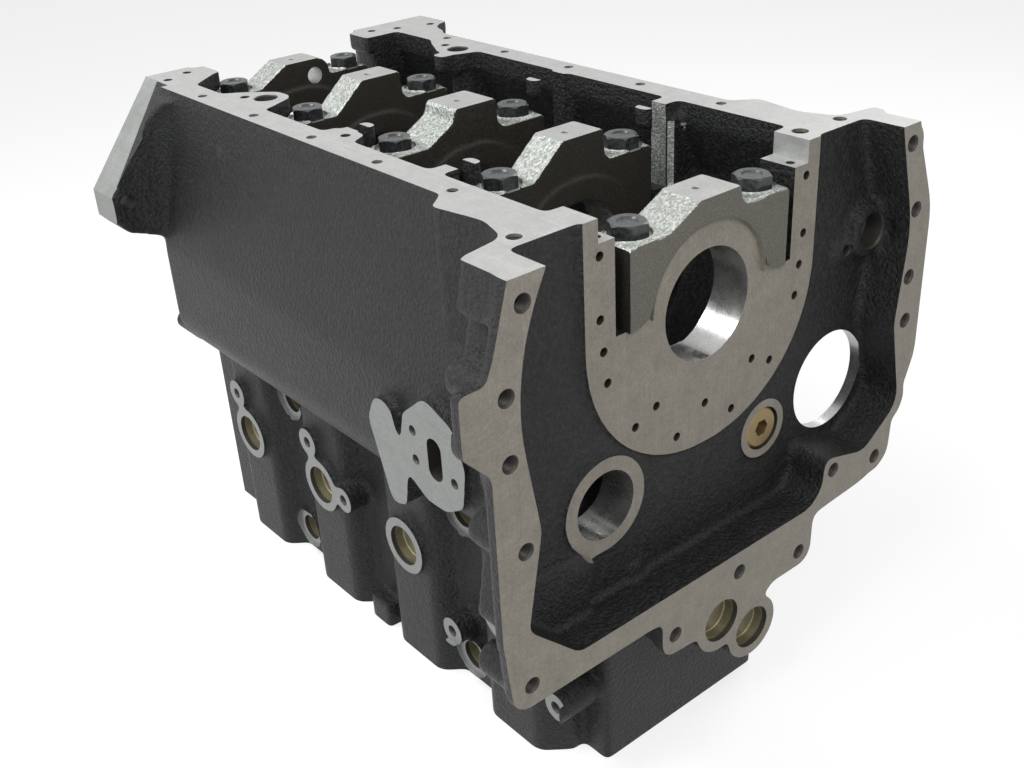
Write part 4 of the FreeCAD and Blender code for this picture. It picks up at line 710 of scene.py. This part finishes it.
# CAD nodes that keep their shape get their own finish; the zinc-yellow finish is darkened as painted
# shade.
for name, node in frame["nodes"].items():
    material = ZINC_WITH_PAINTED_SHADE
    if name.startswith("main_cap_bolt"):
        material = BLACK_OXIDE
    elif name == "oil_gallery_plug":
        material = BRASS
    node.data.materials.clear()
    node.data.materials.append(material)

# Floor, light and camera
floor_mesh = bpy.data.meshes.new("floor")
floor_mesh.from_pydata([(-8, -8, 0), (8, -8, 0), (8, 8, 0), (-8, 8, 0)], [], [(0, 1, 2, 3)])
floor = new_object("floor", floor_mesh)
floor.location.z = cad_low.z - 0.0004
floor_nodes = Nodes("floor_white")
rays = floor_nodes.add("ShaderNodeLightPath").outputs
seen = floor_nodes.add("ShaderNodeMath", {0: rays["Is Camera Ray"], 1: rays["Is Glossy Ray"]},
                       operation="MAXIMUM").outputs[0]
seen = floor_nodes.add("ShaderNodeMath", {0: seen, 1: rays["Is Transmission Ray"]},
                       operation="MAXIMUM").outputs[0]
glow = floor_nodes.add("ShaderNodeMath", {0: seen, 1: 0.72}, operation="MULTIPLY").outputs[0]
floor_mesh.materials.append(floor_nodes.finish(
    Base_Color=(0.4, 0.4, 0.4, 1), Roughness=0.9, Specular_IOR_Level=0.1,
    Emission_Color=(1, 1, 1, 1), Emission_Strength=glow))
floor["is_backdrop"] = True

world = bpy.data.worlds.new("studio")
bpy.context.scene.world = world
world.use_nodes = True
sky = world.node_tree
sky_rays = sky.nodes.new("ShaderNodeLightPath").outputs
either = sky.nodes.new("ShaderNodeMath")
either.operation = "MAXIMUM"
sky.links.new(sky_rays["Is Camera Ray"], either.inputs[0])
sky.links.new(sky_rays["Is Glossy Ray"], either.inputs[1])
any_seen = sky.nodes.new("ShaderNodeMath")
any_seen.operation = "MAXIMUM"
sky.links.new(either.outputs[0], any_seen.inputs[0])
sky.links.new(sky_rays["Is Transmission Ray"], any_seen.inputs[1])
level = sky.nodes.new("ShaderNodeMapRange")
level.inputs["To Min"].default_value = 0.28
level.inputs["To Max"].default_value = 1.0
sky.links.new(any_seen.outputs[0], level.inputs["Value"])
sky.links.new(level.outputs["Result"], sky.nodes["Background"].inputs["Strength"])
sky.nodes["Background"].inputs["Color"].default_value = (1, 1, 1, 1)


def soft_box(name, place, target, size, power, color=(1, 1, 1)):
    light = bpy.data.lights.new(name, "AREA")
    light.shape = "RECTANGLE"
    light.size, light.size_y = size
    light.energy = power
    light.color = color
    lamp = bpy.data.objects.new(name, light)
    lamp.location = place
    lamp.rotation_euler = (Vector(target) - Vector(place)).to_track_quat("-Z", "Y").to_euler()
    bpy.context.scene.collection.objects.link(lamp)


soft_box("key", (-0.8, 0.6, 1.6), (0, 0, 0.35), (0.8, 0.6), 17)
soft_box("front", (-0.15, -1.0, 1.15), (0, -0.25, 0.3), (0.6, 0.4), 4.2)
soft_box("side", (-1.0, -0.45, 1.15), (-0.1, -0.1, 0.3), (0.5, 0.5), 5.5, (0.97, 1.0, 1.0))
soft_box("right", (1.5, 0.3, 1.5), (0, 0, 0.35), (0.8, 0.6), 8)

camera = bpy.data.objects.new("camera", bpy.data.cameras.new("camera"))
camera.location = (-0.56544, -0.76541, 0.70483)
camera.rotation_euler = (1.072699, 0.051285, -0.698074)
camera.data.lens = 43.5
camera.data.clip_start = 0.01
bpy.context.scene.collection.objects.link(camera)
bpy.context.scene.camera = camera
bpy.context.scene.view_settings.view_transform = "Standard"

low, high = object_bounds()
